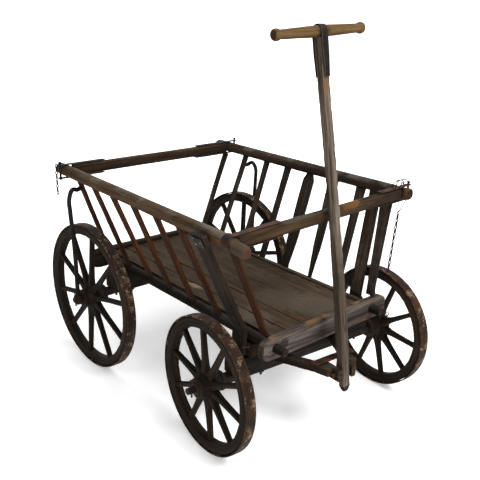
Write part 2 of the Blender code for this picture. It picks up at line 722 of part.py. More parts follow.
def front_axle_set():
    """Everything that turns about the kingpin, apart from wheels and pole."""
    frame = pivot("front_axle_pivot", (WHEELBASE, 0, 0), (0, 0, STEER_AT_REST))
    play = KINGPIN_RADIUS + KINGPIN_PLAY
    bar = axle_bar("front_axle", FRONT_RADIUS)
    bar_top = FRONT_RADIUS + AXLE_BAR_HEIGHT / 2
    hang(drill(bar, 0.0, play, (FRONT_RADIUS - AXLE_BAR_HEIGHT, bar_top)), frame)
    half_depth = AXLE_BED_DEPTH / 2
    bed = add("front_axle_bed", block((-half_depth, half_depth), (-AXLE_BED_HALF, AXLE_BED_HALF),
                                      (bar_top + GAP, AXLE_BED_TOP)), "dark_wood")
    hang(drill(bed, 0.0, play, (bar_top, AXLE_BED_TOP)), frame)
    width, height = HOUND_SECTION
    end_y = CHEEK_Y[1] + width / 2 - HOUND_BITE
    low, high = HOUND_Z - height / 2, HOUND_Z + height / 2
    start_s = half_depth + GAP
    for side, sign in SIDE_SIGN.items():
        outline = [(start_s, sign * (HOUND_START_Y - width / 2)),
                   (start_s, sign * (HOUND_START_Y + width / 2)),
                   (HOUND_END_S, sign * (end_y + width / 2)),
                   (HOUND_END_S, sign * (end_y - width / 2)),
                   (CHEEK_S[0], sign * (end_y - width / 2))]
        hound = add(side + "_hound", extruded(outline, "Z", low, high), "dark_wood")
        cheek = add("cheek", block(CHEEK_S, sorted(sign * y for y in CHEEK_Y), CHEEK_Z),
                    "dark_wood")
        combine(hound, [cheek], "UNION")
        hang(bore_across(hound, PIVOT_PIN_RADIUS + GAP), frame)
    tie_low = high + GAP
    hang(add("hound_tie", block(HOUND_TIE_S, (-HOUND_TIE_HALF, HOUND_TIE_HALF),
                                (tie_low, tie_low + HOUND_TIE_THICK)), "rusty_iron"), frame)
    pin = rod((PIVOT_S, -PIVOT_PIN_HALF, PIVOT_Z), (PIVOT_S, PIVOT_PIN_HALF, PIVOT_Z),
              across(PIVOT_PIN_RADIUS, AXLE_FACETS), AXLE_FACETS)
    hang(add("pole_pin", pin, "rusty_iron", smooth=True), frame)
    return frame


def bore_across(piece, radius, spot=(PIVOT_S, PIVOT_Z)):
    """A hole across the cart for the pole's pin."""
    s, z = spot
    corner = across(radius, AXLE_FACETS)
    shape = rod((s, -PIVOT_PIN_HALF, z), (s, PIVOT_PIN_HALF, z), corner, AXLE_FACETS)
    cutter = add("bore", shape, "rusty_iron")
    return combine(piece, [cutter], "DIFFERENCE")


def pole_bow(z):
    """How far the pole stands forward of its straight line; none above the strap's foot."""
    t = min(max(z / (POLE_LENGTH - STRAP_LENGTH), 0.0), 1.0)
    return POLE_BOW * 4 * t * (1 - t)


def draw_pole(front_axle):
    """Pole, handle and strap in the pole's own frame: pivot at the origin, Z up the pole."""
    frame = pivot("pole_pivot", (PIVOT_S, 0, PIVOT_Z), (0, -POLE_LEAN, 0))
    frame.parent = front_axle
    top = POLE_LENGTH - across(HANDLE_RADIUS, HANDLE_FACETS) - POLE_HEAD[1] / 2 * math.tan(HANDLE_TILT) - GAP
    straight = POLE_LENGTH - STRAP_LENGTH
    heights = [-POLE_TAIL, -POLE_TAIL + POLE_TOE] + [straight * k / 5 for k in range(6)] + [top]
    rings = []
    for k, z in enumerate(heights):
        t = min(max(z / straight, 0.0), 1.0)
        depth, width = (foot + (head - foot) * t for foot, head in zip(POLE_FOOT, POLE_HEAD))
        if k == 0:
            depth, width = depth * POLE_TOE_SHARE[0], width * POLE_TOE_SHARE[1]
        x, a, b = pole_bow(z), depth / 2, width / 2
        rings.append([(x - a, -b, z), (x + a, -b, z), (x + a, b, z), (x - a, b, z)])
    pole = add("draw_pole", loft(bmesh.new(), rings), "grey_wood")
    hang(bore_across(pole, PIVOT_PIN_RADIUS + 2 * GAP, (0.0, 0.0)), frame)
    knob_in = HANDLE_HALF - KNOB_LENGTH
    half = [(HANDLE_RADIUS, 0.0), (HANDLE_RADIUS, STRAP_WIDTH / 2),
            (HANDLE_RADIUS * HANDLE_SLIM, knob_in - 0.006), (KNOB_RADIUS * 0.93, knob_in),
            (KNOB_RADIUS, knob_in + KNOB_LENGTH * 0.5), (KNOB_RADIUS * 0.82, HANDLE_HALF)]
    profile = [(r, -y) for r, y in reversed(half)] + half[1:]
    handle = lathe(profile, HANDLE_FACETS)
    bmesh.ops.rotate(handle, cent=(0, 0, 0), matrix=Matrix.Rotation(HANDLE_TILT, 3, "X"), verts=handle.verts)
    bmesh.ops.translate(handle, vec=(0, 0, POLE_LENGTH), verts=handle.verts)
    hang(add("handle", handle, "handle_wood", smooth=True), frame)
    hang(add("handle_strap", strap_outline(), "dark_iron"), frame)


def strap_outline():
    """Bent strip over the tilted handle, down the pole's front and back."""
    inner = across(HANDLE_RADIUS, HANDLE_FACETS) + STRAP_WIDTH / 2 * math.tan(HANDLE_TILT) + GAP
    outer = inner + STRAP_THICK
    low = POLE_LENGTH - STRAP_LENGTH
    turns = [math.pi * k / 8 for k in range(9)]
    over = [(outer * math.cos(a), POLE_LENGTH + outer * math.sin(a)) for a in turns]
    under = [(inner * math.cos(a), POLE_LENGTH + inner * math.sin(a)) for a in reversed(turns)]
    outline = [(outer, low)] + over + [(-outer, low), (-inner, low)] + under + [(inner, low)]
    return extruded(outline, "Y", -STRAP_WIDTH / 2, STRAP_WIDTH / 2)


def stand_on_origin():
    """Shifts the cart so that the middle of its box on the ground is the origin."""
    bpy.context.view_layer.update()
    corners = [piece.matrix_world @ vertex.co for piece in bpy.data.objects
               if piece.type == "MESH" for vertex in piece.data.vertices]
    shift = Vector([-(min(c[i] for c in corners) + max(c[i] for c in corners)) / 2 for i in (0, 1)] + [0])
    for piece in bpy.data.objects:
        if piece.parent is None:
            piece.location += shift


def build():
    for old in list(bpy.data.objects):
        bpy.data.objects.remove(old)
    front_axle = front_axle_set()
    place_wheels(front_axle)
    draw_pole(front_axle)
    body_frame()
    top_rails()
    slats()
    stakes()
    cross_bars()
    braces()
    chains()
    stand_on_origin()


build()
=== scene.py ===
"""Looks for the weathered wooden hand cart: worn timbers, spoked wheels, rusty irons, studio and camera.

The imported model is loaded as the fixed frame. Each class below builds one sub-assembly as numpy
surfaces in the frame's own metres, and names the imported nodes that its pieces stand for.
"""

import logging
import math
from dataclasses import dataclass
from enum import Enum

import bpy
import numpy as np
from mathutils import Matrix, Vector
from numpy.typing import ArrayLike, NDArray


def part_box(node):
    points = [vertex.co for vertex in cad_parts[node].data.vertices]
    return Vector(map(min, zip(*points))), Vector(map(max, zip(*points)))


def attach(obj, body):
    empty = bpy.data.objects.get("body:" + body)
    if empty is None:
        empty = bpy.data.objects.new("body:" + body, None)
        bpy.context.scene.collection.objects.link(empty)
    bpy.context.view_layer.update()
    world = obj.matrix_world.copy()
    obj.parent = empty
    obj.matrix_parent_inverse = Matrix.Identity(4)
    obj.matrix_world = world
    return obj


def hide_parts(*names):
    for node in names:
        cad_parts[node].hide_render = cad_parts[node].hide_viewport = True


Array = NDArray[np.float64]
Colour = tuple[float, float, float]
Stop = tuple[float, Colour]

LOG = logging.getLogger("hand_cart")


class Side(Enum):
    """The cart's two sides, with the sign of Y on each."""

    RIGHT = -1.0
    LEFT = 1.0

    @property
    def word(self) -> str:
        """The side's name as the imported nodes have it."""
        return self.name.lower()


class Axle(Enum):
    """The two pairs of wheels."""

    REAR = "rear"
    FRONT = "front"


def paint(red: int, green: int, blue: int) -> Colour:
    """Linear colour from display values of 0 to 255: ((c + 0.055) / 1.055) to the power 2.4."""
    shares = (np.array((red, green, blue)) / 255.0 + 0.055) / 1.055
    return tuple(float(share) for share in shares**2.4)


# Noise


def scramble(cells: Array, seed: float) -> Array:
    """Random-looking numbers from 0 to 1: the fraction left of a large sine of each cell's place.

    Args:
        cells: whole-number places, (..., 3).
        seed: picks another set of numbers.

    Returns:
        One number for each place.
    """
    return np.modf(np.abs(np.sin(cells @ np.array((12.9898, 78.233, 37.719)) + seed * 4.137) * 43758.5453))[0]


def smooth_noise(points: Array, seed: float) -> Array:
    """Noise from -1 to 1: numbers at whole-number corners, blended by 3t^2 - 2t^3 between them.

    Args:
        points: places, (..., 3).
        seed: picks another field.

    Returns:
        One value for each place.
    """
    base = np.floor(points)
    share = points - base
    share = share * share * (3 - 2 * share)
    total = np.zeros(points.shape[:-1])
    for corner in np.ndindex(2, 2, 2):
        step = np.array(corner, float)
        weight = np.prod(np.where(step == 1, share, 1 - share), axis=-1)
        total += weight * scramble(base + step, seed)
    return 2 * total - 1


def layered_noise(points: Array, seed: float, layers: int = 3) -> Array:
    """Sum of smooth noise, each layer twice as fine and half as strong as the last."""
    total = sum(0.5**k * smooth_noise(points * 2.0**k, seed + k) for k in range(layers))
    return total / (2 - 0.5 ** (layers - 1))


def ease(value: Array, low: float, high: float) -> Array:
    """0 below low and 1 above high, with a smooth step between."""
    share = np.clip((value - low) / (high - low), 0, 1)
    return share * share * (3 - 2 * share)


def unit(vectors: Array) -> Array:
    """Vectors at length one."""
    return vectors / np.linalg.norm(vectors, axis=-1, keepdims=True)


def spots(x: ArrayLike, y: ArrayLike, z: ArrayLike) -> Array:
    """Places or directions from their three numbers, each one number or a row of them."""
    return np.stack(np.broadcast_arrays(x, y, z), axis=-1).astype(float)


# Surfaces


@dataclass
class Skin:
    """A surface with the marks that its finish reads.

    Fields: points (n, 3); quads (q, 4); caps, each the corners of one closing face; grain, the
    place inside the wood with its first number along the fibres; wear, end and seam, from 0 to 1;
    seam holds dark joints and the painted shade near a piece's ends.
    """

    points: Array
    quads: NDArray[np.int64]
    caps: list[NDArray[np.int64]]
    grain: Array
    wear: Array
    end: Array
    seam: Array


def joined(skins: list[Skin]) -> Skin:
    """Several skins as one, the faces' numbers shifted past the points before them."""
    starts = np.cumsum([0] + [len(skin.points) for skin in skins[:-1]])
    points, *marks = (np.concatenate([getattr(skin, name) for skin in skins])
                      for name in ("points", "grain", "wear", "end", "seam"))
    quads = np.concatenate([skin.quads + start for skin, start in zip(skins, starts)])
    return Skin(points, quads, [cap + start for skin, start in zip(skins, starts) for cap in skin.caps], *marks)


def lattice(rows: int, columns: int, loop: bool) -> NDArray[np.int64]:
    """Quads of a grid whose columns close on themselves, and whose rows do too if loop is set."""
    row = np.arange(rows if loop else rows - 1)[:, None]
    column = np.arange(columns)[None, :]
    after, beside = (row + 1) % rows, (column + 1) % columns
    corners = (row * columns + column, row * columns + beside, after * columns + beside,
               after * columns + column)
    return np.stack([corner.ravel() for corner in np.broadcast_arrays(*corners)], axis=1)


def skinned(rings: Array, grain: Array, wear: Array, seam: Array, loop: bool) -> Skin:
    """Closed surface from rings of points; open ends are drawn in by stages to a small last face.

    Args:
        rings: points, (rows, columns, 3).
        grain: place inside the wood for each, same shape.
        wear: worn share for each, (rows, columns).
        seam: share of dark joint, and of painted shade near the ends, for each, (rows, columns).
        loop: whether the last ring meets the first.

    Returns:
        The skin, its end faces marked.
    """
    rows, columns = wear.shape
    if loop:
        return Skin(rings.reshape(-1, 3), lattice(rows, columns, True), [], grain.reshape(-1, 3),
                    wear.ravel(), np.zeros(rows * columns), seam.ravel())
    shares = np.array((0.93, 0.62, 0.28))

    def drawn_in(values: Array, inner_first: bool) -> Array:
        """The stages between an end ring and its middle."""
        centre = values.mean(axis=0)
        order = shares[::-1] if inner_first else shares
        return centre + order[:, None, None] * (values - centre)

    rings = np.concatenate([drawn_in(rings[0], True), rings, drawn_in(rings[-1], False)])
    grain = np.concatenate([drawn_in(grain[0], True), grain, drawn_in(grain[-1], False)])
    extra = len(shares)
    pad = ((extra, extra), (0, 0))
    end = np.pad(np.zeros((rows, columns)), pad, constant_values=1.0)
    wear, seam = np.pad(wear, pad, mode="edge"), np.pad(seam, pad)
    total = rows + 2 * extra
    caps = [np.arange(columns)[::-1], np.arange(columns) + (total - 1) * columns]
    return Skin(rings.reshape(-1, 3), lattice(total, columns, False), caps, grain.reshape(-1, 3),
                wear.ravel(), end.ravel(), seam.ravel())


@dataclass
class Timber:
    """A length of wood or strip of iron: one section carried along a path.

    The section is |a|^edge + |b|^edge = 1 across its two half-axes, so 2 is round and 10 is square.
    Weather only takes material away: fine ridges along the fibres, shallow hollows, and chips on
    the corners, each a share of layered noise times its depth.

    Fields: path, wide and deep hold the middle and the two half-axes at each station, (n, 3);
    end_shade, how dark the painted shade is near both ends, where the piece meets what holds it.
    """

    path: ArrayLike
    wide: ArrayLike
    deep: ArrayLike
    edge: float = 7.0
    rough: float = 0.0006
    hollow: float = 0.0010
    chips: float = 0.0
    sway: float = 0.0
    step: float = 0.008
    around: int = 32
    seed: float = 0.0
    loop: bool = False
    seams: ArrayLike = ()
    end_shade: float = 0.0

    def skin(self) -> Skin:
        """Carries the section along the path and weathers it.

        Returns:
            The finished surface.
        """
        path, wide, deep = (np.atleast_2d(np.asarray(v, float)) for v in (self.path, self.wide, self.deep))
        wide, deep = np.broadcast_to(wide, path.shape), np.broadcast_to(deep, path.shape)
        lengths = np.concatenate(([0.0], np.cumsum(np.linalg.norm(np.diff(path, axis=0), axis=1))))
        count = max(int(math.ceil(lengths[-1] / self.step)), 2)
        marks = np.union1d(np.linspace(0, lengths[-1], count + 1), lengths)
        marks = marks[np.concatenate(([True], np.diff(marks) > self.step * 0.05))]
        if self.loop:
            marks = marks[:-1]

        def at(values: Array) -> Array:
            """Values of the given stations at the marks."""
            return np.stack([np.interp(marks, lengths, values[:, k]) for k in range(3)], axis=1)

        path, wide, deep = at(path), at(wide), at(deep)
        if self.sway:
            wander = np.stack([marks * 3.1, np.zeros_like(marks), np.zeros_like(marks)], axis=1)
            hold = np.sin(np.pi * marks / lengths[-1])[:, None]
            path = path + hold * self.sway * (
                smooth_noise(wander, self.seed + 11)[:, None] * unit(wide)
                + smooth_noise(wander, self.seed + 23)[:, None] * unit(deep))
        angle = 2 * np.pi * (np.arange(self.around) + 0.5) / self.around
        a = np.sign(np.cos(angle)) * np.abs(np.cos(angle)) ** (2 / self.edge)
        b = np.sign(np.sin(angle)) * np.abs(np.sin(angle)) ** (2 / self.edge)
        width, depth = (np.linalg.norm(v, axis=1)[:, None] for v in (wide, deep))
        out = (unit(wide)[:, None] * (np.sign(a) * np.abs(a) ** (self.edge - 1) / width)[..., None]
               + unit(deep)[:, None] * (np.sign(b) * np.abs(b) ** (self.edge - 1) / depth)[..., None])
        grain = np.stack([np.broadcast_to(marks[:, None], (len(marks), self.around)),
                          a * width, b * depth], axis=-1)
        grain[..., 0] += 7.31 * self.seed
        corner = ease(np.minimum(np.abs(a), np.abs(b)), 0.60, 0.92) * min(max(self.edge - 2, 0), 1)
        corner = np.broadcast_to(corner, grain.shape[:2])
        ridges = 0.5 + 0.5 * layered_noise(grain * (9.0, 150.0, 150.0), self.seed)
        dips = 0.5 + 0.5 * layered_noise(grain * (7.0, 22.0, 22.0), self.seed + 5)
        bites = ease(layered_noise(grain * (38.0, 40.0, 40.0), self.seed + 9), 0.05, 0.6)
        cut = self.rough * ridges + self.hollow * dips + self.chips * corner * bites
        seam = np.zeros(grain.shape[:2])
        for place in np.atleast_1d(np.asarray(self.seams, float)):
            seam += np.exp(-(((marks - place) / 0.0014) ** 2))[:, None]
        cut = cut + 0.0012 * np.clip(seam, 0, 1)
        rings = path[:, None] + a[:, None] * wide[:, None] + b[:, None] * deep[:, None] - unit(out) * cut[..., None]
        wear = np.clip(0.75 * corner + 0.35 * (1 - dips) + 0.3 * bites * corner, 0, 1)
        # painted shade: darker near both ends, where the piece meets what holds it
        near = np.minimum(marks, lengths[-1] - marks)[:, None] / (0.016 + 0.02 * ridges)
        seam = seam + self.end_shade * np.exp(-(near**2))
        return skinned(rings, grain, wear, np.clip(seam, 0, 1), self.loop)


def beam(start: ArrayLike, end: ArrayLike, wide: ArrayLike, deep: ArrayLike, **how: float) -> Timber:
    """A straight timber between two points with the same section all along."""
    return Timber(np.stack([np.asarray(start, float), np.asarray(end, float)]), wide, deep, **how)


def turned(profile: ArrayLike, centre: ArrayLike, axis: ArrayLike, around: int = 40, rough: float = 0.0004,
           seed: float = 0.0) -> Skin:
    """A piece from the lathe: radius and distance along the axis, swept round it.

    Args:
        profile: (radius, along) pairs from one end to the other.
        centre: where along is 0.
        axis: direction of the axis.
        around: points in a ring.
        rough: depth of the weathering, taken off the radius.
        seed: picks another pattern.

    Returns:
        The closed skin.
    """
    shape = np.asarray(profile, float)
    axis = unit(np.asarray(axis, float))
    side = unit(np.cross(axis, (0.31, 0.17, 0.93) if abs(axis[2]) < 0.9 else (1.0, 0.0, 0.0)))
    rise = np.cross(axis, side)
    angle = 2 * np.pi * np.arange(around) / around
    way = np.cos(angle)[:, None] * side + np.sin(angle)[:, None] * rise
    grain = np.stack([np.broadcast_to(shape[:, 1:2], (len(shape), around)),
                      shape[:, :1] * np.cos(angle), shape[:, :1] * np.sin(angle)], axis=-1)
    grain[..., 0] += 7.31 * seed
    bumps = 0.5 + 0.5 * layered_noise(grain * (60.0, 70.0, 70.0), seed)
    radius = np.maximum(shape[:, :1] - rough * bumps, 1e-4)
    rings = np.asarray(centre, float) + shape[:, 1, None, None] * axis + radius[..., None] * way
    bend = np.abs(np.gradient(np.gradient(shape[:, 0])))
    wear = np.broadcast_to(np.clip(bend * 160, 0, 0.8)[:, None], bumps.shape) + 0.2 * (1 - bumps)
    return skinned(rings, grain, np.clip(wear, 0, 1), np.zeros_like(bumps), False)


def tube(path: ArrayLike, radius: float | Array, around: int = 12, loop: bool = False,
         seed: float = 0.0, rough: float = 0.0003) -> Skin:
    """A round bar along a path; each ring's side axis is the last one's, put square to the path.

    Args:
        path: points, (n, 3).
        radius: of the bar, one number or one for each point.
        around: points in a ring.
        loop: whether the path closes.
        seed: picks another pattern.
        rough: depth of the pitting.

    Returns:
        The closed skin.
    """
    path = np.asarray(path, float)
    if loop:
        run = unit(np.roll(path, -1, axis=0) - np.roll(path, 1, axis=0))
        flat = unit(np.cross(path - path.mean(axis=0), run).mean(axis=0))
        side = np.broadcast_to(flat, path.shape)
    else:
        run = unit(np.gradient(path, axis=0))
        side = np.zeros_like(path)
        last = np.cross(run[0], (0.3, 0.9, 0.2))
        for i, way in enumerate(run):
            last = last - way * (last @ way)
            side[i] = last = last / np.linalg.norm(last)
    rise = np.cross(run, side)
    angle = 2 * np.pi * np.arange(around) / around
    size = np.broadcast_to(np.asarray(radius, float), len(path))[:, None, None]
    way = np.cos(angle)[None, :, None] * side[:, None] + np.sin(angle)[None, :, None] * rise[:, None]
    rings = path[:, None] + way * size
    bumps = 0.5 + 0.5 * layered_noise(rings * 90.0, seed)
    rings = rings - way * (rough * bumps)[..., None]
    return skinned(rings, rings.copy(), 0.3 * (1 - bumps), np.zeros_like(bumps), loop)


def curve_through(points: ArrayLike, steps: int = 8) -> Array:
    """Catmull-Rom curve: each stretch is the cubic whose slopes come from its neighbours."""
    keys = np.asarray(points, float)
    keys = np.concatenate([2 * keys[:1] - keys[1:2], keys, 2 * keys[-1:] - keys[-2:-1]])
    share = (np.arange(steps) / steps)[None, :, None]
    a, b, c, d = (keys[k:len(keys) - 3 + k, None] for k in range(4))
    stretch = 0.5 * (2 * b + (c - a) * share + (2 * a - 5 * b + 4 * c - d) * share**2
                     + (3 * b - 3 * c + d - a) * share**3)
    return np.concatenate([stretch.reshape(-1, 3), keys[-2:-1]])


# Finishes


class Brew:
    """A node tree being put together for one finish."""

    def __init__(self, name: str) -> None:
        """Starts a material of this name."""
        self.material = bpy.data.materials.new(name)
        self.material.use_nodes = True
        self.tree = self.material.node_tree
        self.shader = self.tree.nodes["Principled BSDF"]

    def node(self, kind: str, sockets: dict, **settings: object) -> bpy.types.Node:
        """Adds a node.

        Args:
            kind: the node's type without its ShaderNode prefix.
            sockets: input name or number to a value or an output socket.
            settings: properties of the node.

        Returns:
            The node.
        """
        made = self.tree.nodes.new("ShaderNode" + kind)
        for key, value in settings.items():
            setattr(made, key, value)
        for key, value in sockets.items():
            self.feed(made.inputs[key], value)
        return made

    def feed(self, socket: bpy.types.NodeSocket, value: object) -> None:
        """Links an output socket to an input, or sets the input's own value."""
        if isinstance(value, bpy.types.NodeSocket):
            self.tree.links.new(value, socket)
        elif isinstance(value, tuple) and len(value) == 3 and socket.type == "RGBA":
            socket.default_value = (*value, 1.0)
        else:
            socket.default_value = value

    def place(self) -> bpy.types.NodeSocket:
        """Object coordinates, which are the frame's metres."""
        return self.node("TexCoord", {}).outputs["Object"]

    def mark(self, name: str) -> bpy.types.NodeSocket:
        """One of the skin's marks as a number."""
        return self.node("Attribute", {}, attribute_name=name).outputs["Fac"]

    def grain(self) -> bpy.types.NodeSocket:
        """The place inside the wood."""
        return self.node("Attribute", {}, attribute_name="grain").outputs["Vector"]

    def stretched(self, vector: object, scale: tuple) -> bpy.types.NodeSocket:
        """A vector scaled axis by axis."""
        return self.node("Mapping", {"Vector": vector, "Scale": scale}).outputs["Vector"]

    def noise(self, vector: object, scale: float, detail: float = 4.0, rough: float = 0.55,
              twist: float = 0.0) -> bpy.types.NodeSocket:
        """Layered noise from 0 to 1."""
        sockets = {"Vector": vector, "Scale": scale, "Detail": detail, "Roughness": rough, "Distortion": twist}
        return self.node("TexNoise", sockets).outputs["Fac"]

    def sums(self, kind: str, one: object, two: object = 0.0) -> bpy.types.NodeSocket:
        """One step of arithmetic."""
        return self.node("Math", {0: one, 1: two}, operation=kind).outputs[0]

    def add(self, one: object, two: object) -> bpy.types.NodeSocket:
        """One number and another."""
        return self.sums("ADD", one, two)

    def times(self, one: object, two: object) -> bpy.types.NodeSocket:
        """One number times another."""
        return self.sums("MULTIPLY", one, two)

    def less(self, one: object, two: object) -> bpy.types.NodeSocket:
        """One number less another."""
        return self.sums("SUBTRACT", one, two)

    def vectors(self, kind: str, *given: object) -> bpy.types.NodeSocket:
        """One step of arithmetic on vectors; a length comes out as a number."""
        made = self.node("VectorMath", dict(enumerate(given)), operation=kind)
        return made.outputs["Value" if kind == "LENGTH" else 0]

    def band(self, value: object, low: float, high: float, top: float = 1.0) -> bpy.types.NodeSocket:
        """0 at low and top at high, smooth between; low may be the larger."""
        sockets = {"Value": value, "From Min": low, "From Max": high, "To Min": 0.0, "To Max": top}
        return self.node("MapRange", sockets, interpolation_type="SMOOTHSTEP").outputs["Result"]

    def ramp(self, value: object, stops: list[Stop]) -> bpy.types.NodeSocket:
        """Colours laid along a number."""
        made = self.node("ValToRGB", {"Fac": value})
        bar = made.color_ramp
        while len(bar.elements) < len(stops):
            bar.elements.new(0.5)
        for element, (place, colour) in zip(bar.elements, stops):
            element.position = place
            element.color = (*colour, 1.0)
        return made.outputs["Color"]

    def over(self, share: object, below: object, above: object, kind: str = "MIX") -> bpy.types.NodeSocket:
        """One colour laid over another."""
        return self.node("Mix", {0: share, 6: below, 7: above}, data_type="RGBA", blend_type=kind,
                         clamp_factor=True).outputs[2]

    def finished(self, colour: object, rough: object, height: object, relief: float, depth: float,
                 metal: float = 0.0, shine: float = 0.35) -> bpy.types.Material:
        """Feeds the shader.

        Args:
            colour: base colour.
            rough: roughness.
            height: relief from 0 to 1.
            relief: how strongly it tilts the light.
            depth: its full depth in metres.
            metal: metallic share, the same all over.
            shine: specular level, the same all over.

        Returns:
            The material.
        """
        bump = self.node("Bump", {"Height": height, "Strength": relief, "Distance": depth})
        self.feed(self.shader.inputs["Base Color"], colour)
        self.feed(self.shader.inputs["Roughness"], rough)
        self.feed(self.shader.inputs["Metallic"], metal)
        self.feed(self.shader.inputs["Specular IOR Level"], shine)
        self.feed(self.shader.inputs["Normal"], bump.outputs["Normal"])
        return self.material


@dataclass(frozen=True)
class Mark:
    """A stain, rub, knot or painted highlight at one place of the cart.

    Fields: place and size in metres, axis by axis; colour; strength at its middle.
    """

    place: tuple[float, float, float]
    size: tuple[float, float, float]
    colour: Colour
    strength: float = 0.8


@dataclass(frozen=True)
class Wood:
    """Bare weathered wood.

    Fields: name and slot; dark, mid and light along the fibres; under, painted shade on faces turned down;
    edge, on worn corners: wear, the light ones painted as a highlight where they face up, the dark ones painted
    shade along every corner of slats and stakes; end, on end grain; bleach and its share, in patches on faces turned
    up;
    cracks, soil and relief, as shares; lit_edges, how far worn corners show only where they face up, as a painted
    highlight; gape, the cracks' width in the noise; dirt, the colour of soil, cracks, dark joints and the
    painted shade near ends; marks at known places.
    """

    name: str
    slot: str
    dark: Colour
    mid: Colour
    light: Colour
    under: Colour
    edge: Colour
    end: Colour
    bleach: Colour = (0.2, 0.19, 0.175)
    bleached: float = 0.3
    cracks: float = 0.8
    soil: float = 0.5
    edges: float = 0.6
    relief: float = 0.6
    lit_edges: float = 1.0
    gape: float = 0.020
    # colour of soil, cracks and dark joints, and of the painted shade near ends
    dirt: Colour = (0.010, 0.008, 0.006)
    marks: tuple[Mark, ...] = ()

    def material(self) -> bpy.types.Material:
        """Fibres, streaks, stains, cracks, worn corners and end grain, with painted shade on faces turned down and
        near the ends of slats and bars, and a painted highlight on worn corners that face up.

        Returns:
            The finish as a material, made once for each name.
        """
        found = bpy.data.materials.get(self.name)
        if found:
            return found
        brew = Brew(self.name)
        grain, place = brew.grain(), brew.place()
        fibre = brew.noise(brew.stretched(grain, (9.0, 210.0, 210.0)), 1.0, 6.0, 0.62)
        streak = brew.noise(brew.stretched(grain, (2.0, 36.0, 36.0)), 1.0, 4.0, 0.55, 0.4)
        patch = brew.noise(place, 13.0, 5.0, 0.6)
        cloud = brew.noise(brew.stretched(place, (5.0, 5.0, 5.0)), 1.0, 4.0, 0.6)
        tone = brew.add(brew.times(fibre, 0.45), brew.times(streak, 0.55))
        colour = brew.ramp(tone, [(0.36, self.dark), (0.5, self.mid), (0.64, self.light)])
        sky = brew.mark("sky")
        # painted shade: faces turned down are laid over with the darker under colour
        colour = brew.over(brew.band(sky, 0.5, 0.12, 0.85), colour, self.under)
        pale = brew.times(brew.band(patch, 0.48, 0.64, self.bleached), brew.band(sky, 0.5, 0.85))
        colour = brew.over(pale, colour, self.bleach)
        edge = brew.add(brew.mark("wear"), brew.times(brew.less(fibre, 0.5), 1.2))
        # worn corners: wear, and where lit_edges is 1 a painted highlight that shows only where they face up
        above = brew.add(brew.band(sky, 0.40, 0.72, self.lit_edges), 1.0 - self.lit_edges)
        above = brew.times(above, brew.band(edge, 0.40, 0.85, self.edges))
        colour = brew.over(above, colour, self.edge)
        soil = brew.add(brew.times(cloud, 0.6), brew.times(fibre, 0.4))
        colour = brew.over(brew.band(soil, 0.50, 0.68, self.soil), colour, self.dirt)
        split = brew.noise(brew.stretched(grain, (2.6, 88.0, 88.0)), 1.0, 2.0, 0.5, 0.2)
        line = brew.band(brew.sums("ABSOLUTE", brew.less(split, 0.5)), self.gape, 0.2 * self.gape)
        where = brew.band(brew.noise(brew.stretched(grain, (2.2, 14.0, 14.0)), 1.0, 2.0), 0.46, 0.60)
        line = brew.times(line, where)
        colour = brew.over(brew.times(line, self.cracks), colour, self.dirt)
        rings = brew.noise(brew.stretched(grain, (1.0, 120.0, 120.0)), 1.0, 3.0)
        face = brew.over(brew.band(rings, 0.42, 0.62), self.end, tuple(0.35 * c for c in self.end))
        colour = brew.over(brew.mark("end"), colour, face)
        # dark joints, and painted shade near the ends of slats and bars
        colour = brew.over(brew.mark("seam"), colour, self.dirt)
        for mark in self.marks:
            colour = self.marked(brew, colour, mark, place, fibre)
        height = brew.less(brew.add(fibre, brew.times(streak, 0.5)), line)
        rough = brew.band(fibre, 1.0, 0.0, 1.0)
        rough = brew.add(brew.times(rough, 0.25), 0.66)
        return brew.finished(colour, rough, height, self.relief, 0.0014, shine=0.08)

    @staticmethod
    def marked(brew: Brew, colour: object, mark: Mark, place: object, fibre: object) -> bpy.types.NodeSocket:
        """Lays one mark: full at its middle and gone at its size, with a ragged edge from noise."""
        away = brew.vectors("DIVIDE", brew.vectors("SUBTRACT", place, mark.place), mark.size)
        away = brew.vectors("LENGTH", away)
        ragged = brew.times(brew.noise(place, 60.0, 4.0, 0.6), 1.1)
        away = brew.add(away, brew.less(ragged, 0.55))
        away = brew.add(away, brew.times(brew.less(fibre, 0.5), 0.8))
        return brew.over(brew.band(away, 1.05, 0.55, mark.strength), colour, mark.colour)


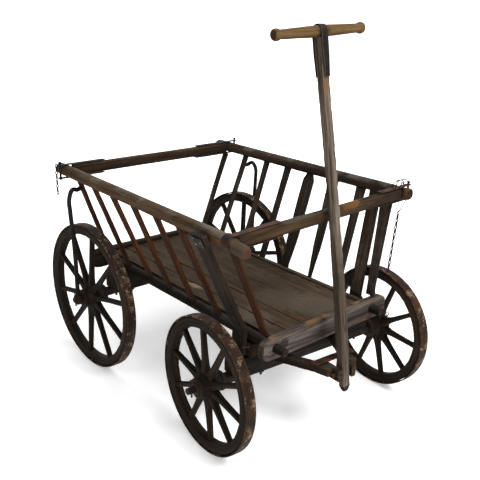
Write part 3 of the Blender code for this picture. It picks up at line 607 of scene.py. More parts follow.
@dataclass(frozen=True)
class Iron:
    """Wrought iron, blackened, rusted or worn.

    Fields: name and slot; black, brown, rust and bright through the patches; bare, on rubbed
    corners; shift moves the patches towards rust; metal, the metallic share; flecks and fleck, the
    strength and colour of small bare specks.
    """

    name: str
    slot: str
    black: Colour
    brown: Colour
    rust: Colour
    bright: Colour
    bare: Colour = (0.16, 0.13, 0.11)
    shift: float = 0.0
    rubbed: float = 0.35
    metal: float = 0.10
    relief: float = 0.5
    flecks: float = 0.0
    fleck: Colour = (0.30, 0.20, 0.12)

    def material(self) -> bpy.types.Material:
        """Patches and pits of rust on object coordinates.

        Returns:
            The finish as a material, made once for each name.
        """
        found = bpy.data.materials.get(self.name)
        if found:
            return found
        brew = Brew(self.name)
        place = brew.place()
        coarse = brew.noise(place, 34.0, 5.0, 0.6, 0.3)
        fine = brew.noise(place, 260.0, 5.0, 0.65)
        tone = brew.add(brew.times(coarse, 0.6), brew.times(fine, 0.4))
        tone = brew.add(tone, self.shift)
        colour = brew.ramp(tone, [(0.38, self.black), (0.48, self.brown), (0.57, self.rust), (0.68, self.bright)])
        speck = brew.noise(place, 520.0, 2.0, 0.5)
        rubbed = brew.add(brew.mark("wear"), brew.times(brew.less(speck, 0.5), 1.4))
        colour = brew.over(brew.band(rubbed, 0.62, 0.95, self.rubbed), colour, self.bare)
        fleck = brew.times(brew.noise(place, 330.0, 3.0, 0.6), brew.noise(place, 38.0, 2.0))
        colour = brew.over(brew.band(fleck, 0.30, 0.36, self.flecks), colour, self.fleck)
        rough = brew.add(brew.times(fine, 0.35), 0.5)
        height = brew.add(fine, coarse)
        return brew.finished(colour, rough, height, self.relief, 0.0009, metal=self.metal, shine=0.12)


RAIL_WOOD = Wood(
    "rail_wood", "grey_wood", paint(46, 34, 23), paint(78, 60, 41), paint(102, 83, 61),
    under=paint(62, 31, 16), edge=paint(98, 78, 57), end=paint(52, 37, 28), bleached=0.25, soil=0.65, edges=0.4,
    marks=(Mark((-0.470, -0.349, 0.663), (0.04, 0.04, 0.04), paint(24, 18, 14), 0.8),
           Mark((0.470, -0.358, 0.665), (0.05, 0.05, 0.05), paint(62, 52, 43), 0.65),
           Mark((0.345, -0.372, 0.650), (0.06, 0.02, 0.012), paint(74, 36, 17), 0.7),
           Mark((0.478, -0.358, 0.644), (0.02, 0.03, 0.016), paint(70, 38, 27), 0.6)))
FAR_RAIL_WOOD = Wood(
    "far_rail_wood", "grey_wood", paint(24, 17, 11), paint(42, 30, 21), paint(60, 46, 33),
    under=paint(24, 13, 7), edge=paint(71, 54, 34), end=paint(27, 19, 13), bleached=0.25, soil=0.55,
    marks=(Mark((0.414, 0.355, 0.662), (0.010, 0.03, 0.03), paint(103, 69, 33), 0.6),
           Mark((0.376, 0.353, 0.668), (0.05, 0.03, 0.03), paint(35, 20, 12), 0.6)))
BAR_WOOD = Wood(
    "bar_wood", "grey_wood", paint(26, 18, 12), paint(46, 34, 24), paint(70, 52, 32),
    under=paint(21, 12, 7), edge=paint(83, 60, 34), end=paint(30, 20, 13), bleached=0.15, soil=0.65,
    marks=(Mark((0.395, 0.10, 0.675), (0.03, 0.05, 0.02), paint(108, 74, 37), 0.6),
           Mark((0.395, 0.28, 0.660), (0.04, 0.10, 0.04), paint(32, 24, 18), 0.7),
           Mark((0.402, -0.25, 0.638), (0.03, 0.05, 0.008), paint(53, 36, 14), 0.5)))
# near slats: the dark edge colour on every corner is painted shade, dark sides beside each slat's orange face
SLAT_WOOD = Wood(
    "slat_wood", "brown_wood", paint(27, 13, 6), paint(52, 27, 10), paint(100, 54, 18),
    under=paint(36, 17, 7), edge=paint(20, 11, 6), end=paint(32, 16, 8), bleached=0.1, soil=0.6, edges=0.85,
    lit_edges=0.0)
# far slats: the dark edge colour on every corner is painted shade
DARK_SLAT_WOOD = Wood(
    "dark_slat_wood", "dark_wood", paint(20, 16, 13), paint(36, 29, 24), paint(58, 48, 40),
    under=paint(22, 16, 12), edge=paint(18, 14, 11), end=paint(29, 22, 17), bleached=0.15, soil=0.5, edges=0.7,
    lit_edges=0.0)
LOW_RAIL_WOOD = Wood(
    "low_rail_wood", "dark_wood", paint(10, 7, 5), paint(19, 14, 9), paint(34, 26, 19),
    under=paint(9, 6, 5), edge=paint(45, 33, 22), end=paint(50, 35, 21), bleached=0.05, soil=0.6, edges=0.4,
    # painted highlight: a pale strip along the top of the far low rail
    marks=(Mark((0.15, 0.206, 0.344), (0.40, 0.012, 0.010), paint(77, 65, 48), 0.5),))
# stakes: the dark edge colour on every corner is painted shade
STAKE_WOOD = Wood(
    "stake_wood", "dark_wood", paint(22, 18, 15), paint(42, 33, 26), paint(64, 50, 38),
    under=paint(28, 20, 14), edge=paint(24, 18, 14), end=paint(24, 19, 16), bleached=0.15, soil=0.6, edges=0.6,
    lit_edges=0.0, marks=(Mark((0.30, -0.37, 0.655), (0.05, 0.05, 0.02), paint(30, 26, 24), 0.8),))
WHEEL_WOOD = Wood(
    "wheel_wood", "dark_wood", paint(16, 12, 8), paint(32, 24, 18), paint(52, 39, 29),
    under=paint(20, 14, 10), edge=paint(65, 45, 29), end=paint(23, 17, 12), bleached=0.1, soil=0.45, edges=0.35)
# timbers under the bed: their own dark wood, painted darker still as the shade under the bed
FRAME_WOOD = Wood(
    "frame_wood", "dark_wood", paint(16, 12, 9), paint(29, 22, 17), paint(46, 37, 27),
    under=paint(13, 9, 7), edge=paint(55, 42, 30), end=paint(61, 45, 31), bleached=0.12, soil=0.6, edges=0.5)
BED_WOOD = Wood(
    "bed_wood", "grey_wood", paint(35, 25, 16), paint(51, 39, 27), paint(66, 51, 37),
    under=paint(21, 12, 8), edge=paint(69, 50, 33), end=paint(34, 22, 14), bleach=paint(73, 62, 52),
    bleached=0.25, soil=0.45, cracks=0.9, edges=0.5,
    marks=(Mark((0.233, 0.008, 0.344), (0.10, 0.09, 0.03), paint(71, 60, 50), 0.6),
           Mark((0.330, 0.050, 0.344), (0.09, 0.10, 0.03), paint(75, 65, 55), 0.6),
           Mark((0.273, -0.136, 0.344), (0.09, 0.05, 0.03), paint(73, 63, 53), 0.6),
           Mark((-0.006, -0.142, 0.344), (0.04, 0.014, 0.02), paint(115, 100, 84), 0.7),
           Mark((0.372, -0.040, 0.344), (0.011, 0.007, 0.02), paint(90, 51, 17), 0.85),
           Mark((-0.10, 0.16, 0.344), (0.35, 0.04, 0.02), paint(26, 19, 13), 0.6)))
BEAM_WOOD = Wood(
    "beam_wood", "silver_wood", paint(32, 27, 24), paint(66, 58, 53), paint(108, 100, 96),
    under=paint(41, 27, 20), edge=paint(97, 71, 47), end=paint(74, 62, 51), bleach=paint(101, 77, 53),
    bleached=1.6, cracks=1.0, soil=0.75, relief=0.9, gape=0.05, edges=0.35,
    marks=(Mark((0.437, -0.175, 0.330), (0.02, 0.022, 0.022), paint(32, 23, 19), 0.8),
           Mark((0.437, 0.20, 0.305), (0.02, 0.06, 0.014), paint(68, 46, 33), 0.7)))
POLE_WOOD = Wood(
    "pole_wood", "grey_wood", paint(38, 30, 24), paint(88, 77, 66), paint(130, 119, 109),
    under=paint(79, 68, 59), edge=paint(114, 95, 73), end=paint(34, 26, 21), bleach=paint(116, 109, 102),
    bleached=0.25, soil=0.8, cracks=1.0, gape=0.04,
    marks=(Mark((0.368, -0.003, 1.008), (0.016, 0.016, 0.026), paint(105, 68, 36), 0.6),
           Mark((0.500, -0.012, 0.36), (0.14, 0.14, 0.21), paint(57, 48, 39), 0.55),
           Mark((0.534, -0.016, 0.172), (0.05, 0.05, 0.020), paint(29, 21, 16), 0.9)))
HANDLE_WOOD = Wood(
    "worn_handle_wood", "handle_wood", paint(58, 41, 23), paint(88, 68, 41), paint(110, 89, 60),
    under=paint(74, 54, 33), edge=paint(103, 81, 52), end=paint(56, 39, 22), bleached=0.1,
    soil=0.55, cracks=0.6, relief=0.3,
    marks=(Mark((0.333, 0.002, 1.138), (0.03, 0.024, 0.03), paint(38, 25, 15), 0.7),))
TYRE_IRON = Iron(
    "tyre_iron", "rusty_iron", paint(26, 18, 13), paint(39, 25, 17), paint(56, 33, 20), paint(76, 47, 30),
    bare=paint(84, 60, 42), shift=-0.02, rubbed=0.3, flecks=0.7)
RUSTY_IRON = Iron(
    "rusty_iron_skin", "rusty_iron", paint(26, 20, 17), paint(44, 28, 20), paint(68, 38, 23), paint(96, 54, 28),
    shift=0.0)
DARK_IRON = Iron(
    "dark_iron_skin", "dark_iron", paint(16, 14, 13), paint(26, 21, 18), paint(42, 29, 22), paint(64, 40, 27),
    shift=-0.03)
NAIL_IRON = Iron(
    "nail_iron", "rusty_iron", paint(40, 34, 30), paint(74, 66, 60), paint(112, 104, 96), paint(140, 134, 126),
    shift=0.02)

Finish = Wood | Iron


def put(name: str, skins: Skin | list[Skin], finish: Finish, body: str, replaces: tuple[str, ...] = (),
        crease: float = 42.0) -> bpy.types.Object:
    """Makes a mesh object of one or more skins, dresses it and rides it on a body.

    Faces are turned over together where the signed volume, the sum of each face's corner volumes
    from the origin, comes out negative.

    Args:
        name: the piece's name.
        skins: what it is made of.
        finish: its wood or iron.
        body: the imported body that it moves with.
        replaces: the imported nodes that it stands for.
        crease: angle in degrees past which an edge stays sharp.

    Returns:
        The object.
    """
    skin = joined(skins if isinstance(skins, list) else [skins])
    corner = skin.points[skin.quads]
    volume = sum(np.einsum("ij,ij->i", corner[:, 0], np.cross(corner[:, k], corner[:, k + 1])).sum()
                 for k in (1, 2))
    quads = skin.quads if volume > 0 else skin.quads[:, ::-1]
    caps = [cap if volume > 0 else cap[::-1] for cap in skin.caps]
    loops = np.concatenate([quads.ravel()] + caps)
    totals = np.array([4] * len(quads) + [len(cap) for cap in caps])
    mesh = bpy.data.meshes.new(name)
    mesh.vertices.add(len(skin.points))
    mesh.vertices.foreach_set("co", skin.points.astype(np.float32).ravel())
    mesh.loops.add(len(loops))
    mesh.loops.foreach_set("vertex_index", loops.astype(np.int32))
    mesh.polygons.add(len(totals))
    mesh.polygons.foreach_set("loop_start", np.concatenate(([0], np.cumsum(totals)[:-1])).astype(np.int32))
    mesh.update(calc_edges=True)
    mesh.validate()
    normals = np.zeros(len(skin.points) * 3, np.float32)
    mesh.vertices.foreach_get("normal", normals)
    # how far each face turns up; the wood finishes read it for bleach, for painted shade on faces turned down and
    # for the painted highlight on worn corners that face up
    sky = 0.5 + 0.5 * normals.reshape(-1, 3)[:, 2]
    for label, values in (("wear", skin.wear), ("end", skin.end), ("seam", skin.seam), ("sky", sky)):
        mesh.attributes.new(label, "FLOAT", "POINT").data.foreach_set("value", values.astype(np.float32))
    mesh.attributes.new("grain", "FLOAT_VECTOR", "POINT").data.foreach_set(
        "vector", skin.grain.astype(np.float32).ravel())
    mesh.shade_smooth()
    mesh.set_sharp_from_angle(angle=math.radians(crease))
    piece = bpy.data.objects.new(name, mesh)
    bpy.context.scene.collection.objects.link(piece)
    mesh.materials.append(finish.material())
    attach(piece, body)
    if replaces:
        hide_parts(*replaces)
    LOG.info("%s: %d points on %s", name, len(skin.points), body)
    return piece


def worn(node: str, skins: Skin | list[Skin], finish: Finish, body: str = "cart") -> bpy.types.Object:
    """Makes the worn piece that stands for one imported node, named after it."""
    return put("worn_" + node, skins, finish, body, (node,))


@dataclass
class Layout:
    """Where the cart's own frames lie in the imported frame.

    The cart's frame starts on the ground under the rear axle, X to the front. The truck's starts
    at the kingpin and is turned with the front axle. The pole's starts at its pin, Z up the pole.
    """

    origin: Array
    wheelbase: float = 0.654
    steer: float = math.radians(-4.75)
    pivot_s: float = 0.188
    pivot_z: float = 0.226
    lean: float = math.radians(12.4)

    def cart(self, places: ArrayLike) -> Array:
        """Places in the cart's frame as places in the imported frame."""
        return np.asarray(places, float) + self.origin

    def turn(self, vectors: ArrayLike) -> Array:
        """Directions of the truck's frame: a turn by the steering angle about Z."""
        v = np.asarray(vectors, float)
        c, s = math.cos(self.steer), math.sin(self.steer)
        return np.stack([v[..., 0] * c - v[..., 1] * s, v[..., 0] * s + v[..., 1] * c, v[..., 2]], axis=-1)

    def truck(self, places: ArrayLike) -> Array:
        """Places in the truck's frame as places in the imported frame."""
        return self.turn(places) + self.cart((self.wheelbase, 0, 0))

    def tip(self, vectors: ArrayLike) -> Array:
        """Directions of the pole's frame: leant back about the pin, then turned with the truck."""
        v = np.asarray(vectors, float)
        c, s = math.cos(self.lean), math.sin(self.lean)
        return self.turn(np.stack([v[..., 0] * c - v[..., 2] * s, v[..., 1], v[..., 0] * s + v[..., 2] * c],
                                  axis=-1))

    def pole(self, places: ArrayLike) -> Array:
        """Places in the pole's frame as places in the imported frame."""
        return self.tip(places) + self.truck((self.pivot_s, 0, self.pivot_z))


# The cart

# Lathe profiles: radius, and distance along the axle from the middle of the wheel
NAVE = ((0.0110, -0.0500), (0.0250, -0.0500), (0.0262, -0.0480), (0.0270, -0.0360), (0.0290, -0.0280),
        (0.0335, -0.0180), (0.0358, -0.0130), (0.0360, 0.0), (0.0358, 0.0130), (0.0330, 0.0170),
        (0.0295, 0.0215), (0.0275, 0.0260), (0.0262, 0.0360), (0.0245, 0.0378), (0.0110, 0.0378))
OUTER_BAND = ((0.0240, 0.0255), (0.0292, 0.0257), (0.0300, 0.0270), (0.0297, 0.0345), (0.0286, 0.0368),
              (0.0236, 0.0374))
INNER_BAND = ((0.0250, -0.0485), (0.0290, -0.0480), (0.0300, -0.0460), (0.0298, -0.0390), (0.0270, -0.0375))
WASHER = ((0.0100, 0.0386), (0.0168, 0.0388), (0.0172, 0.0400), (0.0166, 0.0414), (0.0100, 0.0416))
AXLE_CAP = ((0.0060, 0.0640), (0.0096, 0.0650), (0.0099, 0.0655), (0.0086, 0.0659), (0.0030, 0.0660))
# Corner pin's head: radius and height
PIN_HEAD = ((0.0020, 0.0), (0.0052, 0.0006), (0.0058, 0.0026), (0.0048, 0.0044), (0.0020, 0.0052))
# Spoke: distance from the axle's centre line, half width round the wheel, half thickness
SPOKE = ((0.030, 0.0160, 0.0115), (0.044, 0.0150, 0.0112), (0.052, 0.0132, 0.0108), (0.062, 0.0110, 0.0104),
         (0.076, 0.0095, 0.0100), (0.096, 0.0087, 0.0095), (0.125, 0.0082, 0.0090))
# Top rails: place along the cart (for the rear end, from that end), radius, how far the middle drops
REAR_RAIL_END = ((0.0, 0.0150, 0.0), (0.006, 0.0178, 0.0), (0.020, 0.0190, 0.0), (0.400, 0.0192, 0.0))
NEAR_RAIL_END = ((0.700, 0.0193, 0.0), (0.734, 0.0190, 0.001), (0.746, 0.0172, 0.006), (0.766, 0.0178, 0.007),
                 (0.778, 0.0174, 0.008), (0.786, 0.0150, 0.009), (0.788, 0.0120, 0.009))
FAR_RAIL_END = ((0.660, 0.0192, 0.0), (0.700, 0.0188, 0.0), (0.716, 0.0172, 0.0), (0.727, 0.0188, 0.0),
                (0.736, 0.0192, 0.0), (0.739, 0.0176, 0.0), (0.741, 0.0150, 0.0))
# Brace's bend: share of the way forward to its slat, how far in from the bulge, how far below the join
BRACE_BEND = ((0.7, 0.024, 0.002), (0.3, 0.003, 0.028), (0.1, 0.0, 0.070), (0.0, 0.005, 0.190))
# Wires from the far front corner's rail point, and one in the cart's frame
CORNER_WIRES = (
    ((-0.010, -0.045, 0.022), (-0.006, -0.040, 0.036), (0.000, -0.028, 0.044), (0.004, -0.012, 0.040),
     (0.004, -0.002, 0.024)),
    ((0.006, -0.050, 0.022), (0.002, -0.036, 0.040), (0.010, -0.024, 0.047), (0.016, -0.010, 0.046)),
    ((0.012, -0.040, 0.022), (0.012, -0.030, 0.034), (0.006, -0.018, 0.036), (0.012, -0.004, 0.023)))
CHAIN_HANGER = (((0.012, 0.004, -0.021), (0.006, 0.002, -0.040), (0.000, -0.003, -0.058)),
                ((-0.010, -0.002, -0.021), (-0.006, -0.003, -0.042), (-0.001, -0.004, -0.060)))
STAKE_WIRE = ((0.660, -0.2452, 0.300), (0.668, -0.2476, 0.309), (0.680, -0.2470, 0.312),
              (0.690, -0.2452, 0.318))

# Weathering that several pieces share
HEWN = {"hollow": 0.0014, "chips": 0.003}
SHEET = {"edge": 6.0, "rough": 0.0003, "hollow": 0.0003}

AHEAD = np.array((1.0, 0.0, 0.0))


@dataclass
class Wheel:
    """One spoked wheel with its iron tyre, nave bands and linch pin.

    Fields: axle and side; radius; spoke_turn, one spoke's angle from the top towards the front;
    face_y, the tyre's outer face; pin_reach, the linch pin's distance from the wheel's middle.
    """

    layout: Layout
    axle: Axle
    side: Side
    radius: float
    spoke_turn: float
    pin_reach: float
    tyre_wall: float = 0.005
    tyre_width: float = 0.034
    felloe_depth: float = 0.031
    face_y: float = 0.359
    spokes: int = 10
    felloes: int = 5

    @property
    def seed(self) -> float:
        """A number of this wheel's own."""
        return self.radius * 100 + self.side.value * 3

    def place(self, local: ArrayLike) -> Array:
        """Hub places (forward, outward, up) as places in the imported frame."""
        v = np.asarray(local, float) * (1.0, self.side.value, 1.0)
        v = v + (0.0, self.side.value * (self.face_y - self.tyre_width / 2), self.radius)
        return self.layout.cart(v) if self.axle is Axle.REAR else self.layout.truck(v)

    def way(self, local: ArrayLike) -> Array:
        """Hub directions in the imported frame."""
        v = np.asarray(local, float) * (1.0, self.side.value, 1.0)
        return v if self.axle is Axle.REAR else self.layout.turn(v)

    def hoop(self, middle: float, half: float, width: float, count: int, **how: object) -> Timber:
        """A closed ring of a number of steps: the section's axes are the radius and the axle."""
        angle = 2 * np.pi * np.arange(count + 1) / count
        out = spots(np.sin(angle), 0.0, np.cos(angle))
        return Timber(self.place(out * middle), self.way(out * half), self.way((0.0, width, 0.0)), loop=True,
                      step=2 * np.pi * middle / count * 0.9, seed=self.seed + how.pop("own", 0), **how)

    def build(self) -> None:
        """Makes the tyre, the wooden wheel and its irons."""
        label = f"{self.axle.value}_{self.side.word}"
        body = label + "_wheel_body"
        half_wall, half_width = self.tyre_wall / 2, self.tyre_width / 2
        tyre = self.hoop(self.radius - half_wall, half_wall, half_width, 168, edge=5.0, rough=0.0003,
                         hollow=0.0005, around=20)
        put(label + "_worn_tyre", tyre.skin(), TYRE_IRON, body, (label + "_tyre",))
        wall = self.radius - self.tyre_wall
        inner = wall - self.felloe_depth
        turn = math.radians(self.spoke_turn)
        middle, half = (wall + inner) / 2 - 0.0001, (wall - inner) / 2 - 0.0002
        joint = turn + 2 * np.pi * (np.arange(self.felloes) + 0.25) / self.felloes
        felloe = self.hoop(middle, half, half_width - 0.0012, 210, edge=5.5, rough=0.0005, hollow=0.0011,
                           chips=0.002, around=28, own=1, seams=np.sort(np.mod(joint, 2 * np.pi)) * middle)
        skins = [felloe.skin()]
        shape = np.array(SPOKE + ((inner - 0.004, 0.0080, 0.0086), (inner + 0.004, 0.0082, 0.0086)))
        for k in range(self.spokes):
            angle = turn + 2 * np.pi * k / self.spokes
            s, c = math.sin(angle), math.cos(angle)
            path, wide, deep = (shape[:, [i]] * np.array(way) for i, way in
                                enumerate(((s, 0, c), (c, 0, -s), (0, 1.0, 0))))
            skins.append(Timber(self.place(path), self.way(wide), self.way(deep), edge=3.4, rough=0.0004,
                                hollow=0.0007, step=0.01, around=20, seed=self.seed + 2 + k).skin())
        hub, axis = self.place((0, 0, 0)), self.way((0, 1, 0))
        skins.append(turned(NAVE, hub, axis, 48, 0.0006, self.seed + 20))
        put(label + "_worn_wheel", skins, WHEEL_WOOD, body, (label + "_wheel",))
        bands = [turned(shape, hub, axis, 40, 0.0008, self.seed + k)
                 for k, shape in enumerate((OUTER_BAND, INNER_BAND))]
        put(label + "_nave_bands", bands, DARK_IRON, body)
        self.linch_pin(label, hub, axis)

    def linch_pin(self, label: str, hub: Array, axis: Array) -> None:
        """The axle's end with its pin and the pin's eye, and on the front axle a washer."""
        reach, eye_radius, eye_z = self.pin_reach, 0.006, 0.0262
        pin = tube(self.place([(0.002, reach, -0.021), (0.001, reach, 0.0), (0.0, reach, 0.021)]), 0.0028, 10)
        ring = np.linspace(0, 2 * np.pi, 20, endpoint=False)
        eye = self.place(spots(eye_radius * np.cos(ring), reach, eye_z + eye_radius * np.sin(ring)))
        skins = [turned(AXLE_CAP, hub, axis, 24, 0.0002, self.seed), pin, tube(eye, 0.0017, 8, loop=True)]
        fixed = "cart"
        if self.axle is Axle.FRONT:
            skins.insert(0, turned(WASHER, hub, axis, 28, 0.0004, self.seed))
            fixed = "steered_axle"
        put(label + "_linch_pin", skins, RUSTY_IRON, fixed)


@dataclass
class Undercarriage:
    """Axle timbers, bolster, perch, plates and axle irons under the bed.

    Fields: depth of both timbers along the cart; step_z, the top of their lower beams; block, the
    upper blocks' half length, middle height and half height; perch and bed, each its half length
    or ends, its middle height and its two half sizes; pin_half and pin_radius, the pole pin's;
    rear_nuts and front_nuts, places across and up.
    """

    layout: Layout
    rear_half: float = 0.270
    bolster_half: float = 0.222
    depth: float = 0.048
    step_z: float = 0.3117
    block: tuple[float, float, float] = (0.187, 0.3195, 0.0090)
    perch: tuple[float, ...] = (0.0243, 0.6297, 0.2970, 0.0197, 0.0148)
    bed: tuple[float, ...] = (0.268, 0.2377, 0.0228, 0.0241)
    pin_half: float = 0.0475
    pin_radius: float = 0.0058
    rear_nuts: tuple = ((-0.182, 0.236), (0.182, 0.236), (-0.245, 0.240), (0.245, 0.240))
    front_nuts: tuple = ((-0.150, 0.188), (0.150, 0.188), (-0.240, 0.192), (0.240, 0.192))

    def cross_timber(self, name: str, x: float, half: float, bottom: float, seed: float, node: str) -> None:
        """A stepped timber: one beam under the low rails, and a block between them under the bed."""
        lay, h = self.layout, self.depth / 2 - 0.0004
        middle, block_half, block_z, block_deep = (bottom + self.step_z) / 2, *self.block
        low = beam(lay.cart((x, -half, middle)), lay.cart((x, half, middle)), (h, 0, 0),
                   (0, 0, (self.step_z - bottom) / 2), edge=9.0, seed=seed, **HEWN)
        top = beam(lay.cart((x, -block_half, block_z)), lay.cart((x, block_half, block_z)), (h, 0, 0),
                   (0, 0, block_deep), edge=9.0, seed=seed + 1)
        put(name, [low.skin(), top.skin()], FRAME_WOOD, "cart", (node,))

    def build(self) -> None:
        """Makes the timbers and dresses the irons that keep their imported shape."""
        lay = self.layout
        self.cross_timber("worn_axle_timber", 0.0, self.rear_half, 0.2606, 31, "rear_axle_timber")
        self.cross_timber("worn_bolster", lay.wheelbase, self.bolster_half, 0.2682, 33, "front_bolster")
        start, stop, z, wide, deep = self.perch
        perch = beam(lay.cart((start, 0, z)), lay.cart((stop, 0, z)), (0, wide, 0), (0, 0, deep), edge=8.0,
                     chips=0.002, sway=0.001, seed=35)
        worn("perch", perch.skin(), FRAME_WOOD)
        half, z, wide, deep = self.bed
        bed = beam(lay.truck((0, -half, z)), lay.truck((0, half, z)), lay.turn((wide, 0, 0)), (0, 0, deep),
                   edge=9.0, seed=37, **HEWN)
        put("worn_axle_bed", bed.skin(), FRAME_WOOD, "steered_axle", ("front_axle_bed",))
        for node in ("rear_axle", "front_axle", "rub_plate", "kingpin"):
            dress_node(node, DARK_IRON)
        across = np.linspace(-self.pin_half, self.pin_half, 9)
        pin = tube(lay.truck(spots(lay.pivot_s, across, lay.pivot_z)), self.pin_radius, 16)
        worn("pole_pin", pin, RUSTY_IRON, "steered_axle")
        for end, frame, rows, body in (("rear", lay.cart, self.rear_nuts, "cart"),
                                       ("front", lay.truck, self.front_nuts, "steered_axle")):
            scale = 40 if end == "rear" else 50
            nuts = [skin for y, z in rows for skin in self.nut(frame((0.0, y, z)), y * scale)]
            put(f"{end}_bolt_nuts", nuts, DARK_IRON, body)

    @staticmethod
    def nut(centre: Array, seed: float) -> list[Skin]:
        """A square nut with the bolt's end through it."""
        half, rise = 0.0085, np.array((0, 0, 0.004))
        nut = beam(centre - rise, centre + rise, (half, 0, 0), (0, half, 0), edge=7.0, around=20, step=0.004,
                   seed=seed)
        stem = tube([centre + (0, 0, -0.014), centre, centre + (0, 0, 0.02)], 0.0040, 10)
        return [nut.skin(), stem]


def dress_node(node: str, finish: Finish) -> None:
    """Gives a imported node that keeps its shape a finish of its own."""
    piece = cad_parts[node]
    piece.data.materials.clear()
    piece.data.materials.append(finish.material())
    LOG.info("%s: packed shape, finish %s", node, finish.name)


@dataclass
class Bed:
    """Bed boards, low rails and the two cross beams.

    Fields: rail_shape, the low rails' places along the cart and radii, thin where they pass the
    beams; seams, the joints between boards; board_x, the boards' ends; round_off, the length of a
    beam's worn round end.
    """

    layout: Layout
    rail_y: float = 0.206
    rail_z: float = 0.328
    rail_radius: float = 0.016
    rail_shape: tuple = ((-0.178, 0.0132), (-0.143, 0.0142), (-0.139, 0.0158), (0.722, 0.0158),
                         (0.756, 0.0142), (0.790, 0.0128))
    seams: tuple[float, float] = (-0.128, -0.060)
    board_x: tuple[float, float] = (-0.1106, 0.7236)
    board_z: float = 0.3365
    board_deep: float = 0.0075
    beam_z: tuple[float, float] = (0.289, 0.359)
    beam_deep: float = 0.0149
    round_off: float = 0.030

    def build(self) -> None:
        """Makes every piece of the floor."""
        self.boards()
        self.rails()
        self.cross_beam("rear", -0.126, (-0.268, 0.268), FRAME_WOOD, 51)
        self.cross_beam("front", 0.739, (-0.249, 0.277), BEAM_WOOD, 53)

    def boards(self) -> None:
        """Three lengthwise boards with worn, slightly uneven edges."""
        edge = self.rail_y - self.rail_radius - 0.0025
        sides = (-edge,) + self.seams + (edge,)
        for k, (low, high) in enumerate(zip(sides, sides[1:])):
            start, stop = (self.layout.cart((x, (low + high) / 2, self.board_z)) for x in self.board_x)
            board = beam(start, stop, (0, (high - low) / 2 - 0.0012, 0), (0, 0, self.board_deep), edge=14.0,
                         rough=0.0007, hollow=0.0009, chips=0.004, around=64, step=0.007, seed=41 + k)
            worn(f"bed_board_{k + 1}", board.skin(), BED_WOOD)

    def rails(self) -> None:
        """Round low rails, hewn a little flat, drawn in where they pass the beams as pegs."""
        x, size = np.array(self.rail_shape).T
        for side in Side:
            path = self.layout.cart(spots(x, side.value * self.rail_y, self.rail_z))
            rail = Timber(path, spots(0.0, size, 0.0), spots(0.0, 0.0, size), edge=2.5, rough=0.0008,
                          hollow=0.0014, step=0.007, around=28, seed=45 + side.value)
            worn(f"{side.word}_low_rail", rail.skin(), LOW_RAIL_WOOD)

    def cross_beam(self, end: str, x: float, sides: tuple[float, float], finish: Wood, seed: float) -> None:
        """A plank on edge whose ends are worn round: its height falls as a quarter ellipse."""
        low, high = self.beam_z
        far = np.array((1.0, 0.9, 0.75, 0.55, 0.3, 0.0))
        y = np.concatenate([sides[0] + self.round_off * (1 - far), sides[1] - self.round_off * (1 - far[::-1])])
        share = np.sqrt(1 - 0.62 * np.concatenate([far, far[::-1]]) ** 2)
        plank = Timber(self.layout.cart(spots(x, y, (low + high) / 2)), spots(self.beam_deep * share**0.4, 0.0, 0.0),
                       spots(0.0, 0.0, (high - low) / 2 * share), edge=6.0, rough=0.0012, hollow=0.0020,
                       chips=0.005, around=52, step=0.006, seed=seed)
        worn(f"{end}_cross_beam", plank.skin(), finish)


@dataclass(frozen=True)
class Slat:
    """One board of a ladder side: places along the cart and widths, at the top and at the foot.

    Fields: on_beam, whether it stands on the front beam; under_iron, whether a corner iron is over
    it; taper, shares of the width at the heights in Ladder.heights.
    """

    top_x: float
    foot_x: float
    top_width: float
    foot_width: float
    on_beam: bool = False
    under_iron: bool = False
    taper: tuple[float, ...] = (1.0, 0.95, 0.94, 1.02, 1.08)


